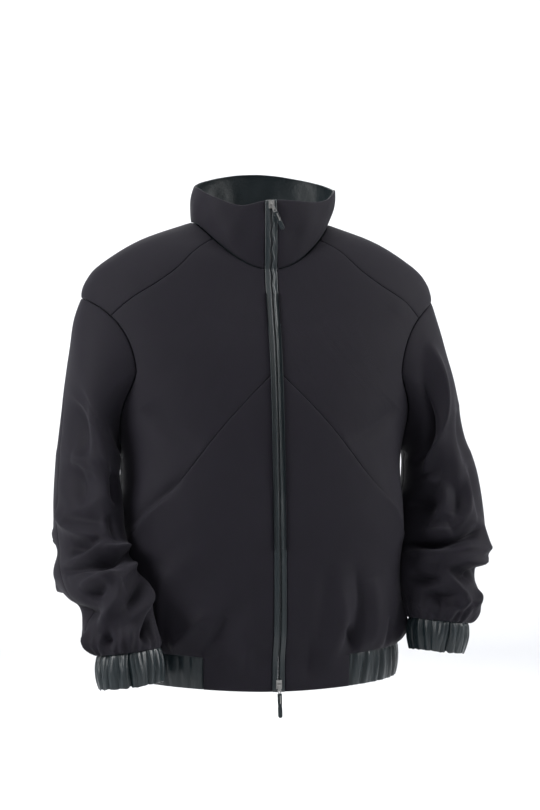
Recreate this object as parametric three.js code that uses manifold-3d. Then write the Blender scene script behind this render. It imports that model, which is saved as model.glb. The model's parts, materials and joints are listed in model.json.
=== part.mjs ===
// A reversible wool jacket with a stand collar, in its worn, hollow form.
// Millimetres, +Z up, the front towards -Y, +X to the wearer's left.
// The origin lies between the shoulders, level with the side neck points.
import * as THREE from "three";
import Module from "manifold-3d";
import { mergeVertices } from "three/addons/utils/BufferGeometryUtils.js";

const wasm = await Module();
wasm.setup();

const DEG = Math.PI / 180;

// Wall thicknesses and the gap that seamed pieces keep.
const WOOL_WALL = 3.0;
const SATIN_WALL = 1.6;
const LINING_WALL = 1.2;
const TAPE_WALL = 1.0;
const SEAM_GAP = 0.38;
const TAPE_CLEAR = 1.3;
const COLLAR_LIFT = 0.4;

// Half-widths across the centre front: satin strips, zip tapes and the fronts' edges.
const STRIP_INNER = 1.2;
const FRONT_EDGE = 9.2;
const TAPE_INNER = 0.4;
const TAPE_OUTER = 13;
const STRIP_RAISE = 1.3;

// The body's rings from hem (at 0) to neck seam (at 1), seen as squared ovals.
const BODY_RINGS = table(
  ["at", "frontY", "frontZ", "sideX", "sideY", "sideZ", "backY", "backZ", "square"],
  [
    [0.0, -156, -687, 212, -2, -676, 134, -668, 2.5],
    [0.065, -158, -640, 214, -2, -628, 137, -620, 2.5],
    [0.12, -169, -600, 219, -2, -590, 148, -582, 2.4],
    [0.22, -171, -520, 215, -2, -512, 148, -505, 2.5],
    [0.32, -168, -440, 218, -3, -434, 146, -428, 2.9],
    [0.46, -158, -335, 215, -4, -340, 142, -330, 2.8],
    [0.56, -150, -262, 240, 0, -245, 135, -235, 2.4],
    [0.66, -138, -195, 262, 4, -165, 124, -150, 2.3],
    [0.75, -121, -140, 275, 8, -100, 110, -78, 2.2],
    [0.82, -110, -108, 263, 9, -66, 100, -38, 2.2],
    [0.88, -104, -88, 236, 9, -41, 92, -12, 2.2],
    [0.94, -100, -73, 182, 7, -9, 84, 8, 2.15],
    [1.0, -97, -60, 106, 2, 18, 76, 27, 2.1],
  ],
);
const HEM_SEAM = 0.065;
const ARC_RADIUS = 190;

// The collar's top edge, its lean to the wearer's left and its dips beside the zip.
const COLLAR_TOP = {
  frontY: -97, frontZ: 46, sideX: 111, sideY: 0, sideZ: 72, backY: 92, backZ: 103, square: 2.2,
};
const COLLAR_LEAN = 12;
const COLLAR_CROWN = 3;
const COLLAR_DIPS = table(["degrees", "spread", "drop"], [[-27, 17, 9], [52, 22, 4]]);

// The armhole is an oval on the body's rings, from the armpit up to the shoulder tip.
const ARMHOLE = {
  low: 0.46, high: 0.75, middle: 92, frontSpread: 27.5, backSpread: 21, point: 0.6,
};
// Where the forward shoulder seam meets the neck and the armhole.
const SHOULDER_SEAM = { neckDegrees: 52, bendDegrees: 53, bendAt: 0.84, armholeTurn: 0.76 };

// The diagonal seam, from the centre front down to the side seam.
const DIAGONAL = table(
  ["at", "degrees", "height"],
  [
    [0, 3, 0.625],
    [0.15, 15.7, 0.573],
    [0.36, 35, 0.482],
    [0.5, 47, 0.405],
    [0.58, 54, 0.366],
    [0.73, 66, 0.296],
    [1, 92, 0.262],
  ],
);
const BAND_FRONT = 38;
const POCKET_LIP = 4.5;

// Large soft folds of the body: degrees round it, height, tilt from level, and size.
const BODY_FOLDS = table(
  ["degrees", "z", "tilt", "length", "width", "height"],
  [
    [-24, -590, 62, 110, 34, -4],
    [-34, -604, 70, 70, 26, 4],
    [29, -575, 84, 150, 30, 3.5],
    [22, -560, 86, 120, 26, -2.5],
    [36, -600, 80, 70, 22, -4],
    [-12, -480, 80, 150, 40, 2.5],
    [-50, -520, 50, 120, 40, 4],
    [60, -560, 70, 110, 34, 4],
    [150, -560, 80, 140, 34, 4],
    [172, -500, 86, 180, 40, -4],
    [205, -560, 96, 150, 34, 4],
    [232, -540, 100, 120, 30, -4],
    [128, -300, 60, 150, 34, -5],
    [232, -300, 120, 150, 34, -5],
    [158, -330, 70, 160, 44, 4],
    [204, -340, 110, 150, 44, 4],
    [182, -110, 0, 140, 34, 3],
    [118, -470, 40, 110, 30, 4],
    [244, -470, 140, 110, 30, 4],
  ],
);

// Sleeve sections down each arm: centre, half-width and half-depth, then the rise of
// the outer end, the turn of the outer end to the front, and the rise of the front.
const SLEEVE_COLUMNS = ["at", "x", "y", "z", "wide", "deep", "rise", "turn", "pitch"];
const SLEEVES = {
  right: {
    side: -1,
    sections: table(SLEEVE_COLUMNS, [
      [0, 244, 3, -219, 125, 103, 75.6, 0, 0],
      [45, 254, 1, -235, 106, 100, 71.8, 0, 0],
      [90, 260, -1, -261, 86, 97, 66.7, 0, 0],
      [145, 264, -4, -297, 67, 94, 56, 4, 0],
      [200, 267, -10, -340, 54, 92, 40, 10, 0],
      [255, 267, -18, -384, 49, 90, 22, 14, 0],
      [305, 268, -29, -428, 47, 88, 7, 15, 0],
      [350, 267, -47, -466, 47, 86, -5, 16, 0],
      [390, 265, -70, -498, 50, 84, -10, 18, 4],
      [425, 258, -102, -525, 52, 70, -14, 20, 8],
      [460, 241, -127, -553, 51, 60, -15, 24, 10],
      [495, 235, -139, -584, 51, 54, -13, 24, 10],
      [520, 231, -146, -606, 51, 50, -9, 20, 8],
      [540, 221, -149, -623, 47, 42, -6, 10, 4],
    ]),
    folds: table(["around", "at", "tilt", "length", "width", "height"], [
      [57, 327, 14, 84, 26, 6],
      [62, 376, -34, 90, 26, 6],
      [48, 352, -6, 66, 22, -7],
      [90, 396, -9, 140, 24, -9],
      [118, 370, 2, 70, 24, 6],
      [67, 422, -15, 60, 22, 7],
      [50, 452, -52, 90, 24, 7],
      [92, 440, -34, 80, 24, -8],
      [122, 462, -34, 90, 24, 6],
      [110, 505, -66, 44, 18, -6],
      [60, 170, 88, 90, 44, -6],
      [55, 240, 80, 70, 36, -5],
      [88, 210, 84, 130, 30, 4],
      [24, 290, 30, 90, 30, 4],
      [-60, 330, 12, 110, 28, 6],
      [-70, 372, -8, 120, 26, -7],
      [-55, 410, -22, 100, 26, 6],
      [-90, 450, 20, 90, 26, -6],
      [-60, 495, 14, 80, 24, 5],
      [-75, 180, 86, 130, 40, -5],
    ]),
    cuffEnd: { x: -3, y: -5, z: -48, wide: 49, deep: 40 },
  },
  left: {
    side: 1,
    sections: table(SLEEVE_COLUMNS, [
      [0, 244, 3, -219, 125, 103, 75.6, 0, 0],
      [45, 256, 1, -238, 102, 100, 73, 0, 0],
      [90, 265, -1, -265, 82, 96, 66.9, 0, 0],
      [145, 274, -4, -301, 64, 92, 53, 0, 0],
      [200, 278, -7, -343, 58, 90, 35, 0, 0],
      [255, 283, -10, -386, 64, 88, 19, 0, 0],
      [300, 285, -18, -424, 66, 86, 11, 0, 0],
      [345, 285, -30, -462, 66, 82, 2, 2, 0],
      [385, 282, -43, -495, 64, 78, -3, 5, 2],
      [415, 271, -58, -521, 58, 70, -7, 8, 4],
      [445, 271, -70, -548, 59, 62, -7, 10, 6],
      [475, 271, -79, -572, 56, 55, -8, 10, 6],
      [500, 263, -86, -594, 47, 44, -6, 8, 4],
    ]),
    folds: table(["around", "at", "tilt", "length", "width", "height"], [
      [104, 150, 84, 170, 28, 6],
      [86, 262, 74, 130, 28, 6],
      [112, 215, 84, 100, 30, -7],
      [62, 316, 60, 80, 26, 5],
      [84, 356, -22, 100, 26, 6],
      [38, 345, -46, 90, 26, 6],
      [78, 378, -8, 140, 22, -7],
      [52, 392, -14, 100, 24, 6],
      [96, 412, -10, 100, 22, -8],
      [44, 428, 36, 80, 24, 6],
      [74, 452, -20, 110, 24, 7],
      [80, 474, 0, 90, 20, -6],
      [60, 486, 30, 40, 18, 4],
      [50, 190, 84, 120, 40, -4],
      [-60, 320, 12, 110, 28, 6],
      [-74, 362, -10, 120, 26, -7],
      [-58, 400, -24, 100, 26, 6],
      [-90, 436, 18, 90, 26, -6],
      [-62, 470, 12, 80, 22, 5],
      [-70, 190, 88, 140, 40, -5],
    ]),
    cuffEnd: { x: -4, y: -3, z: -45, wide: 43, deep: 38 },
  },
};
const SLEEVE_ARC = 70;
const ARMHOLE_FADE = 130;

// Gathers: how many round each cuff and along the hem band, and their half-height.
const CUFF_GATHERS = { count: 20, samples: 3, height: 2.2, wall: 2.0 };
const BAND_GATHERS = { count: 56, samples: 3, height: 1.5 };

// How finely each stretch is divided; pieces that meet share the same stretches.
const CELLS = {
  neckFront: 8,
  neckBack: 12,
  shoulder: 4,
  sideLow: 9,
  sideHigh: 5,
  armholeFront: 8,
  armholeTip: 3,
  armholeBack: 11,
  sleeve: 28,
  collar: 3,
  hem: 2,
  bandFront: 5,
  zip: 26,
  zipCollar: 5,
};

// Zip hardware, drawn with its pin at the origin, the front towards -Y.
const SLIDER = { wide: 8.4, tall: 13, thick: 1.8, pinStand: 3.4, neck: 1.6, neckTall: 8 };
const EAR = { inner: 2.15, thick: 0.9, half: 1.7, hole: 0.85 };
const PULLER = {
  knuckle: 1.15, pin: 0.5, neck: 1.8, shoulder: 4.3, wide: 5, thick: 1.1, tall: 13,
};
const TAB = { wide: 4.6, thick: 1.6, barTall: 12, barWide: 1.8, barThick: 1.3 };
const ZIP_PULLS = table(
  ["name", "along", "hang", "tabTall", "upsideDown"],
  [
    ["top", 1.94, 25, 29, false],
    ["bottom", 0.016, 2, 36, true],
  ],
);

const COLOURS = {
  wool: material(0x1b1a20, 0.85),
  satin: material(0x25343a, 0.42),
  tape: material(0x1a2226, 0.8),
  metal: material(0x8d8f92, 0.3, 0.9),
};

function material(color, roughness, metalness = 0) {
  return new THREE.MeshStandardMaterial({ color, roughness, metalness });
}

function table(columns, rows) {
  return rows.map((row) => Object.fromEntries(columns.map((name, k) => [name, row[k]])));
}

function lerp(a, b, t) {
  return a + (b - a) * t;
}

// A smooth curve through one column of a table whose rows are keyed by "at".
function smoothColumn(rows, column, at) {
  let k = 0;
  while (k < rows.length - 2 && at > rows[k + 1].at) {
    k += 1;
  }
  const [a, b] = [rows[k], rows[k + 1]];
  const [before, after] = [rows[Math.max(k - 1, 0)], rows[Math.min(k + 2, rows.length - 1)]];
  const span = b.at - a.at;
  const t = (at - a.at) / span;
  const leave = ((b[column] - before[column]) / (b.at - before.at)) * span;
  const arrive = ((after[column] - a[column]) / (after.at - a.at)) * span;
  const t2 = t * t;
  const t3 = t2 * t;
  return (2 * t3 - 3 * t2 + 1) * a[column] + (t3 - 2 * t2 + t) * leave
    + (3 * t2 - 2 * t3) * b[column] + (t3 - t2) * arrive;
}

function smoothRow(rows, at) {
  const row = {};
  for (const column of Object.keys(rows[0])) {
    row[column] = smoothColumn(rows, column, at);
  }
  return row;
}

// Height of the soft folds at a place on a surface laid flat, in millimetres.
function foldHeight(folds, across, along, acrossOf, alongOf) {
  let height = 0;
  for (const fold of folds) {
    const dx = across - acrossOf(fold);
    const dy = along - alongOf(fold);
    const u = (dx * Math.cos(fold.tilt * DEG) + dy * Math.sin(fold.tilt * DEG)) / (fold.length / 2);
    const v = (dy * Math.cos(fold.tilt * DEG) - dx * Math.sin(fold.tilt * DEG)) / (fold.width / 2);
    height += fold.height * Math.exp(-(u ** 4) - v * v);
  }
  return height;
}

function surfaceNormal(point, u, v, du, dv) {
  const alongU = point(u + du, v).sub(point(u - du, v));
  const alongV = point(u, v + dv).sub(point(u, v - dv));
  return alongU.cross(alongV).normalize();
}

// A point on one ring, at an angle from the centre front round to the wearer's left.
function ringPoint(ring, degrees) {
  const c = Math.cos(degrees * DEG);
  const s = Math.sin(degrees * DEG);
  const front = c > 0;
  const depth = front ? ring.sideY - ring.frontY : ring.backY - ring.sideY;
  const sum = Math.abs(c / depth) ** ring.square + Math.abs(s / ring.sideX) ** ring.square;
  const radius = sum ** (-1 / ring.square);
  const endZ = front ? ring.frontZ : ring.backZ;
  return new THREE.Vector3(radius * s, ring.sideY - radius * c, lerp(ring.sideZ, endZ, c * c));
}

function plainBody(degrees, at) {
  return ringPoint(smoothRow(BODY_RINGS, at), degrees);
}

function plainBodyNormal(degrees, at) {
  return surfaceNormal(plainBody, degrees, at, 0.2, 0.002);
}

function bodyPoint(degrees, at) {
  const point = plainBody(degrees, at);
  const turned = ((degrees % 360) + 360) % 360;
  const height = foldHeight(
    BODY_FOLDS,
    turned * DEG * ARC_RADIUS,
    point.z,
    (fold) => nearestTurn(fold.degrees, turned) * DEG * ARC_RADIUS,
    (fold) => fold.z,
  );
  return point.addScaledVector(plainBodyNormal(degrees, at), height);
}

function nearestTurn(degrees, to) {
  return degrees + 360 * Math.round((to - degrees) / 360);
}

function bodyNormal(degrees, at) {
  return surfaceNormal(bodyPoint, degrees, at, 0.4, 0.003);
}

// The angle on a ring that lies a given width from the centre front.
function widthDegrees(at, width) {
  const ring = smoothRow(BODY_RINGS, Math.min(at, 1));
  return Math.atan(width / (ring.sideY - ring.frontY)) / DEG;
}

function collarPoint(degrees, up) {
  const low = plainBody(degrees, 1);
  const high = ringPoint(COLLAR_TOP, degrees);
  const c = Math.cos(degrees * DEG);
  const s = Math.sin(degrees * DEG);
  if (c > 0) {
    high.z = lerp(COLLAR_TOP.frontZ, COLLAR_TOP.sideZ, s ** 6);
  }
  for (const dip of COLLAR_DIPS) {
    const off = (nearestTurn(degrees, dip.degrees) - dip.degrees) / dip.spread;
    high.z -= dip.drop * Math.exp(-off * off);
  }
  high.x += COLLAR_LEAN * (1 - Math.cos((degrees * DEG) / 2) ** 4);
  const point = low.lerp(high, up);
  const crown = COLLAR_CROWN * 4 * up * (1 - up);
  return point.add(new THREE.Vector3(crown * s, -crown * c, COLLAR_LIFT * (1 - up)));
}

function collarNormal(degrees, up) {
  return surfaceNormal(collarPoint, degrees, up, 0.4, 0.02);
}

// The shared direction through the cloth where two walls meet at an angle.
function mitre(a, b) {
  const sum = a.clone().add(b);
  return sum.multiplyScalar(1 / Math.max(1 + a.dot(b), 0.75));
}

function neckDirection(degrees) {
  return mitre(bodyNormal(degrees, 1), collarNormal(degrees, 0));
}

// The armhole, by its turn from the shoulder tip (0) down the front to the armpit (pi).
function armholePlace(turn) {
  const middle = (ARMHOLE.low + ARMHOLE.high) / 2;
  const half = (ARMHOLE.high - ARMHOLE.low) / 2;
  const spread = Math.sin(turn) > 0 ? ARMHOLE.frontSpread : ARMHOLE.backSpread;
  const round = half * Math.cos(turn);
  const pointed = half * (Math.abs(Math.sin(turn)) - 1);
  return {
    degrees: ARMHOLE.middle - spread * Math.sin(turn),
    at: middle + (Math.cos(turn) < 0 ? lerp(round, pointed, ARMHOLE.point) : round),
  };
}

function armholePoint(turn) {
  const place = armholePlace(turn);
  return plainBody(place.degrees, place.at);
}

// One sleeve section as if for the wearer's left arm: its centre and two half-axes.
function sectionFrame(section) {
  const rise = section.rise * DEG;
  const turn = section.turn * DEG;
  const pitch = section.pitch * DEG;
  return {
    centre: new THREE.Vector3(section.x, section.y, section.z),
    outward: new THREE.Vector3(
      Math.cos(rise) * Math.cos(turn), -Math.cos(rise) * Math.sin(turn), Math.sin(rise),
    ).multiplyScalar(section.wide),
    forward: new THREE.Vector3(
      -Math.cos(pitch) * Math.sin(turn), -Math.cos(pitch) * Math.cos(turn), Math.sin(pitch),
    ).multiplyScalar(section.deep),
  };
}

function sectionPoint(section, angle) {
  const frame = sectionFrame(section);
  return frame.centre
    .addScaledVector(frame.outward, Math.cos(angle))
    .addScaledVector(frame.forward, Math.sin(angle));
}

function sectionAngle(section, point) {
  const frame = sectionFrame(section);
  const from = point.clone().sub(frame.centre);
  return Math.atan2(
    from.dot(frame.forward) / frame.forward.lengthSq(),
    from.dot(frame.outward) / frame.outward.lengthSq(),
  );
}

function mirrored(point, side) {
  return new THREE.Vector3(point.x * side, point.y, point.z);
}

function plainSleeve(sleeve, turn, at) {
  const seam = armholePoint(turn);
  const angle = sectionAngle(sleeve.sections[0], seam);
  const point = sectionPoint(smoothRow(sleeve.sections, at), angle);
  const fade = Math.max(1 - at / ARMHOLE_FADE, 0) ** 2;
  const slip = seam.sub(sectionPoint(sleeve.sections[0], angle));
  return point.addScaledVector(slip, fade);
}

function sleevePoint(sleeve, turn, at) {
  const point = plainSleeve(sleeve, turn, at);
  const plain = (u, v) => plainSleeve(sleeve, u, v);
  const degrees = sectionAngle(sleeve.sections[0], armholePoint(turn)) / DEG;
  const height = foldHeight(
    sleeve.folds,
    degrees * DEG * SLEEVE_ARC,
    at,
    (fold) => nearestTurn(fold.around, degrees) * DEG * SLEEVE_ARC,
    (fold) => fold.at,
  );
  const last = sleeve.sections.at(-1).at;
  const calm = THREE.MathUtils.smoothstep(at, 0, 40) * THREE.MathUtils.smoothstep(last - at, 0, 25);
  return point.addScaledVector(surfaceNormal(plain, turn, at, 0.01, 1), height * calm);
}

function sleeveNormal(sleeve, turn, at) {
  const from = Math.max(at, 2);
  const point = (u, v) => sleevePoint(sleeve, u, v);
  return surfaceNormal(point, turn, from, 0.01, 2);
}

// The direction through the cloth at the sleeve's end, kept in the cuff's plane.
function wristDirection(sleeve, turn) {
  const { outward, forward } = sectionFrame(sleeve.sections.at(-1));
  const axis = outward.cross(forward).normalize();
  const direction = sleeveNormal(sleeve, turn, sleeve.sections.at(-1).at);
  return direction.addScaledVector(axis, -direction.dot(axis)).normalize();
}

function armholeDirection(sleeve, turn) {
  const place = armholePlace(turn);
  return mitre(plainBodyNormal(place.degrees, place.at), sleeveNormal(sleeve, turn, 0));
}

// A cloth wall on a grid of cells. "place" gives a grid corner's outer point and the
// direction through the cloth; "has" says which cells are there; edges draw in by half
// a seam gap; "loop" closes the grid round a tube.
function clothWall({ columns, rows, place, thickness, has = () => true, loop = false }) {
  const across = loop ? columns : columns + 1;
  const index = (i, j) => (i % across) * (rows + 1) + j;
  const filled = (i, j) => {
    const column = loop ? (i + columns) % columns : i;
    return j >= 0 && j < rows && column >= 0 && column < columns && has(column, j);
  };
  const corners = new Map();
  const corner = (i, j) => {
    const key = index(i, j);
    if (!corners.has(key)) {
      corners.set(key, { ...place(i % across, j), pulls: [] });
    }
    return corners.get(key);
  };
  const steps = [[0, 0], [1, 0], [1, 1], [0, 1]];
  const beyond = [[0, -1], [1, 0], [0, 1], [-1, 0]];
  const cells = [];
  const openEdges = [];
  for (let i = 0; i < columns; i += 1) {
    for (let j = 0; j < rows; j += 1) {
      if (!filled(i, j)) {
        continue;
      }
      const around = steps.map(([di, dj]) => [i + di, j + dj]);
      const centre = new THREE.Vector3();
      around.forEach(([ci, cj]) => centre.addScaledVector(corner(ci, cj).point, 0.25));
      cells.push(around.map(([ci, cj]) => index(ci, cj)));
      beyond.forEach(([di, dj], k) => {
        if (filled(i + di, j + dj)) {
          return;
        }
        const [a, b] = [around[k], around[(k + 1) % 4]];
        openEdges.push([index(...a), index(...b)]);
        pullInto(corner(...a), corner(...b), centre);
      });
    }
  }
  return stitchWall(corners, cells, openEdges, thickness);
}

// Notes the direction in which an open edge draws back into its cell.
function pullInto(a, b, centre) {
  const along = b.point.clone().sub(a.point).normalize();
  const middle = a.point.clone().lerp(b.point, 0.5);
  const pull = centre.clone().sub(middle);
  pull.addScaledVector(along, -pull.dot(along)).normalize();
  a.pulls.push(pull);
  b.pulls.push(pull);
}

function stitchWall(corners, cells, openEdges, thickness) {
  const vertices = [];
  const outer = new Map();
  for (const [key, { point, direction, pulls }] of corners) {
    const seat = point.clone();
    if (pulls.length === 1) {
      seat.addScaledVector(pulls[0], SEAM_GAP / 2);
    } else if (pulls.length > 1) {
      seat.addScaledVector(mitre(pulls[0], pulls[1]), SEAM_GAP / 2);
    }
    outer.set(key, vertices.length / 3);
    vertices.push(seat.x, seat.y, seat.z);
    seat.addScaledVector(direction, -thickness);
    vertices.push(seat.x, seat.y, seat.z);
  }
  const faces = [];
  for (const cell of cells) {
    const [a, b, c, d] = shorterSplit(cell, corners).map((key) => outer.get(key));
    faces.push(a, b, c, a, c, d, a + 1, c + 1, b + 1, a + 1, d + 1, c + 1);
  }
  for (const edge of openEdges) {
    const [a, b] = edge.map((key) => outer.get(key));
    if (gapBetween(vertices, b, a + 1) <= gapBetween(vertices, a, b + 1)) {
      faces.push(b, a, a + 1, b, a + 1, b + 1);
    } else {
      faces.push(b, a, b + 1, a, a + 1, b + 1);
    }
  }
  return solidGeometry(vertices, faces);
}

function gapBetween(vertices, a, b) {
  const from = new THREE.Vector3().fromArray(vertices, a * 3);
  return from.distanceTo(new THREE.Vector3().fromArray(vertices, b * 3));
}

// A cell's corners, turned so that the first and third are the nearer pair.
function shorterSplit(cell, corners) {
  const [a, b, c, d] = cell.map((key) => corners.get(key).point);
  return a.distanceTo(c) <= b.distanceTo(d) ? cell : [...cell.slice(1), cell[0]];
}

function solidGeometry(vertices, faces) {
  const turned = signedVolume(vertices, faces) < 0;
  const geometry = new THREE.BufferGeometry();
  geometry.setAttribute("position", new THREE.Float32BufferAttribute(vertices, 3));
  geometry.setIndex(turned ? faces.toReversed() : faces);
  return geometry;
}

function signedVolume(vertices, faces) {
  let volume = 0;
  const corner = (k) => new THREE.Vector3().fromArray(vertices, faces[k] * 3);
  for (let k = 0; k < faces.length; k += 3) {
    volume += corner(k).dot(corner(k + 1).cross(corner(k + 2)));
  }
  return volume / 6;
}

// Where u between 0 and 1 falls in stretches of the given numbers of cells.
function stretch(u, counts) {
  const total = counts.reduce((sum, count) => sum + count, 0);
  let cell = u * total;
  let k = 0;
  while (k < counts.length - 1 && cell > counts[k] + 1e-9) {
    cell -= counts[k];
    k += 1;
  }
  return [k, cell / counts[k]];
}

// A panel spanned between four seam lines drawn on the body's rings. Each row levels
// out towards the side seam, and the upper line's shape fades fast below it.
function spanPanel({ low, high, start, end, fade }) {
  return (u, v) => {
    const place = {};
    for (const [key, share] of [["degrees", u], ["at", 1 - (1 - u) ** 2]]) {
      const between = (a, b) => lerp(a[key], b[key], share);
      place[key] = between(start(v), end(v))
        + (1 - v) ** 2 * (low(u)[key] - between(low(0), low(1)))
        + v ** fade * (high(u)[key] - between(high(0), high(1)));
    }
    return place;
  };
}

function diagonalPlace(u) {
  const row = smoothRow(DIAGONAL, u);
  if (u === 0) {
    return { degrees: widthDegrees(row.height, FRONT_EDGE), at: row.height };
  }
  return { degrees: row.degrees, at: row.height };
}

function frontEdgePlace(from, to) {
  return (v) => {
    const at = lerp(from, to, v);
    return { degrees: widthDegrees(at, FRONT_EDGE), at };
  };
}

// The forward shoulder seam, from the neck out to the armhole.
function shoulderPlace(t) {
  const tip = armholePlace(SHOULDER_SEAM.armholeTurn);
  const bend = (start, middle, end) => (
    (1 - t) ** 2 * start + 2 * t * (1 - t) * middle + t * t * end
  );
  return {
    degrees: bend(SHOULDER_SEAM.neckDegrees, SHOULDER_SEAM.bendDegrees, tip.degrees),
    at: bend(1, SHOULDER_SEAM.bendAt, tip.at),
  };
}

const SIDE_SPLIT = DIAGONAL.at(-1).height;

function sidePlace(from, to, t) {
  return { degrees: ARMHOLE.middle, at: lerp(from, to, t) };
}

// Upper front: neck and shoulder seam above, armhole and side seam outside.
function upperFront(sleeve) {
  const columns = CELLS.neckFront + CELLS.shoulder;
  const rows = CELLS.sideHigh + CELLS.armholeFront;
  const neckStart = widthDegrees(1, FRONT_EDGE);
  const endTurn = (v) => {
    const [part, t] = stretch(v, [CELLS.sideHigh, CELLS.armholeFront]);
    return part === 0 && t < 1 ? null : lerp(Math.PI, SHOULDER_SEAM.armholeTurn, part ? t : 0);
  };
  const span = spanPanel({
    fade: 3,
    low: diagonalPlace,
    start: frontEdgePlace(DIAGONAL[0].height, 1),
    high: (u) => {
      const [part, t] = stretch(u, [CELLS.neckFront, CELLS.shoulder]);
      if (part === 1) {
        return shoulderPlace(t);
      }
      return { degrees: lerp(neckStart, SHOULDER_SEAM.neckDegrees, t), at: 1 };
    },
    end: (v) => {
      const turn = endTurn(v);
      if (turn !== null) {
        return armholePlace(turn);
      }
      const [, t] = stretch(v, [CELLS.sideHigh, CELLS.armholeFront]);
      return sidePlace(SIDE_SPLIT, ARMHOLE.low, t);
    },
  });
  const place = (i, j) => {
    const { degrees, at } = span(i / columns, j / rows);
    const turn = i === columns ? endTurn(j / rows) : null;
    return bodyCorner(sleeve, degrees, at, turn);
  };
  return clothWall({ columns, rows, place, thickness: WOOL_WALL });
}

// A corner of a body panel, with the shared direction at the neck and the armhole.
function bodyCorner(sleeve, degrees, at, turn) {
  const signed = degrees * sleeve.side;
  if (turn !== null) {
    return {
      point: mirrored(armholePoint(turn), sleeve.side),
      direction: mirrored(armholeDirection(sleeve, turn), sleeve.side),
    };
  }
  if (at > 1 - 1e-6) {
    return { point: plainBody(signed, 1), direction: neckDirection(signed) };
  }
  return { point: bodyPoint(signed, at), direction: bodyNormal(signed, at) };
}

// Lower front: below the diagonal seam, with plain hem rows inside the satin band's ends.
function lowerFront(sleeve) {
  const columns = CELLS.neckFront + CELLS.shoulder;
  const rows = CELLS.hem + CELLS.sideLow;
  const hemLine = (at) => (u) => {
    const split = CELLS.bandFront / columns;
    const start = widthDegrees(at, FRONT_EDGE);
    const degrees = u <= split
      ? lerp(start, BAND_FRONT, u / split)
      : lerp(BAND_FRONT, ARMHOLE.middle, (u - split) / (1 - split));
    return { degrees, at };
  };
  const span = spanPanel({
    fade: 2,
    low: hemLine(HEM_SEAM),
    high: diagonalPlace,
    start: frontEdgePlace(HEM_SEAM, DIAGONAL[0].height),
    end: (v) => sidePlace(HEM_SEAM, SIDE_SPLIT, v),
  });
  const place = (i, j) => {
    const u = i / columns;
    const { degrees, at } = j < CELLS.hem
      ? hemLine(lerp(0, HEM_SEAM, j / CELLS.hem))(u)
      : span(u, (j - CELLS.hem) / CELLS.sideLow);
    const corner = bodyCorner(sleeve, degrees, at, null);
    const lip = POCKET_LIP * Math.exp(-(((u - 0.66) / 0.2) ** 2)) * (j / rows) ** 6;
    corner.point.addScaledVector(corner.direction, lip);
    return corner;
  };
  const has = (i, j) => j >= CELLS.hem || i < CELLS.bandFront;
  return clothWall({ columns, rows, place, thickness: WOOL_WALL, has });
}

// The back, carried over both shoulders to the forward shoulder seams.
function backPanel() {
  const neckCells = [CELLS.shoulder, CELLS.neckBack, CELLS.shoulder];
  const sideCells = [CELLS.sideLow, CELLS.sideHigh, CELLS.armholeBack, CELLS.armholeTip];
  const columns = CELLS.shoulder * 2 + CELLS.neckBack;
  const rows = sideCells.reduce((sum, count) => sum + count, 0);
  const sideTurn = (v) => {
    const [part, t] = stretch(v, sideCells);
    const turns = [null, t < 1 ? null : -Math.PI, lerp(-Math.PI, 0, t)];
    return part < 3 ? turns[part] : lerp(0, SHOULDER_SEAM.armholeTurn, t);
  };
  const side = (v) => {
    const turn = sideTurn(v);
    if (turn !== null) {
      return armholePlace(turn);
    }
    const [part, t] = stretch(v, sideCells);
    return part === 0
      ? sidePlace(HEM_SEAM, SIDE_SPLIT, t)
      : sidePlace(SIDE_SPLIT, ARMHOLE.low, t);
  };
  const opposite = ({ degrees, at }) => ({ degrees: 360 - degrees, at });
  const span = spanPanel({
    fade: 4,
    low: (u) => ({ degrees: lerp(ARMHOLE.middle, 360 - ARMHOLE.middle, u), at: HEM_SEAM }),
    start: side,
    end: (v) => opposite(side(v)),
    high: (u) => {
      const [part, t] = stretch(u, neckCells);
      const { neckDegrees } = SHOULDER_SEAM;
      const parts = [
        shoulderPlace(1 - t),
        { degrees: lerp(neckDegrees, 360 - neckDegrees, t), at: 1 },
        opposite(shoulderPlace(t)),
      ];
      return parts[part];
    },
  });
  const place = (i, j) => {
    const { degrees, at } = span(i / columns, j / rows);
    const turn = sideTurn(j / rows);
    if (i === 0) {
      return bodyCorner(SLEEVES.left, degrees, at, turn);
    }
    if (i === columns) {
      return bodyCorner(SLEEVES.right, 360 - degrees, at, turn);
    }
    return bodyCorner(SLEEVES.left, degrees, at, null);
  };
  return clothWall({ columns, rows, place, thickness: WOOL_WALL });
}

// How far down a sleeve a row of cells lies: rows are closer together towards the cuff.
function sleeveRow(sleeve, share) {
  return sleeve.sections.at(-1).at * share * (1.5 - 0.5 * share);
}

// The direction through a sleeve's cloth, shared with its neighbour at either end.
function sleeveDirection(sleeve, turn, at) {
  if (at === 0) {
    return armholeDirection(sleeve, turn);
  }
  if (at === sleeve.sections.at(-1).at) {
    return wristDirection(sleeve, turn);
  }
  return sleeveNormal(sleeve, turn, at);
}

// One half of a sleeve, front or back, from the over-arm seam to the under-arm seam.
function sleeveHalf(sleeve, front) {
  const turns = front
    ? [[0, SHOULDER_SEAM.armholeTurn, CELLS.armholeTip],
      [SHOULDER_SEAM.armholeTurn, Math.PI, CELLS.armholeFront]]
    : [[-Math.PI, 0, CELLS.armholeBack]];
  const counts = turns.map((part) => part[2]);
  const columns = counts.reduce((sum, count) => sum + count, 0);
  const place = (i, j) => {
    const [part, t] = stretch(i / columns, counts);
    const turn = lerp(turns[part][0], turns[part][1], t);
    const at = sleeveRow(sleeve, 1 - j / CELLS.sleeve);
    return {
      point: mirrored(sleevePoint(sleeve, turn, at), sleeve.side),
      direction: mirrored(sleeveDirection(sleeve, turn, at), sleeve.side),
    };
  };
  return clothWall({ columns, rows: CELLS.sleeve, place, thickness: WOOL_WALL });
}

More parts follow.
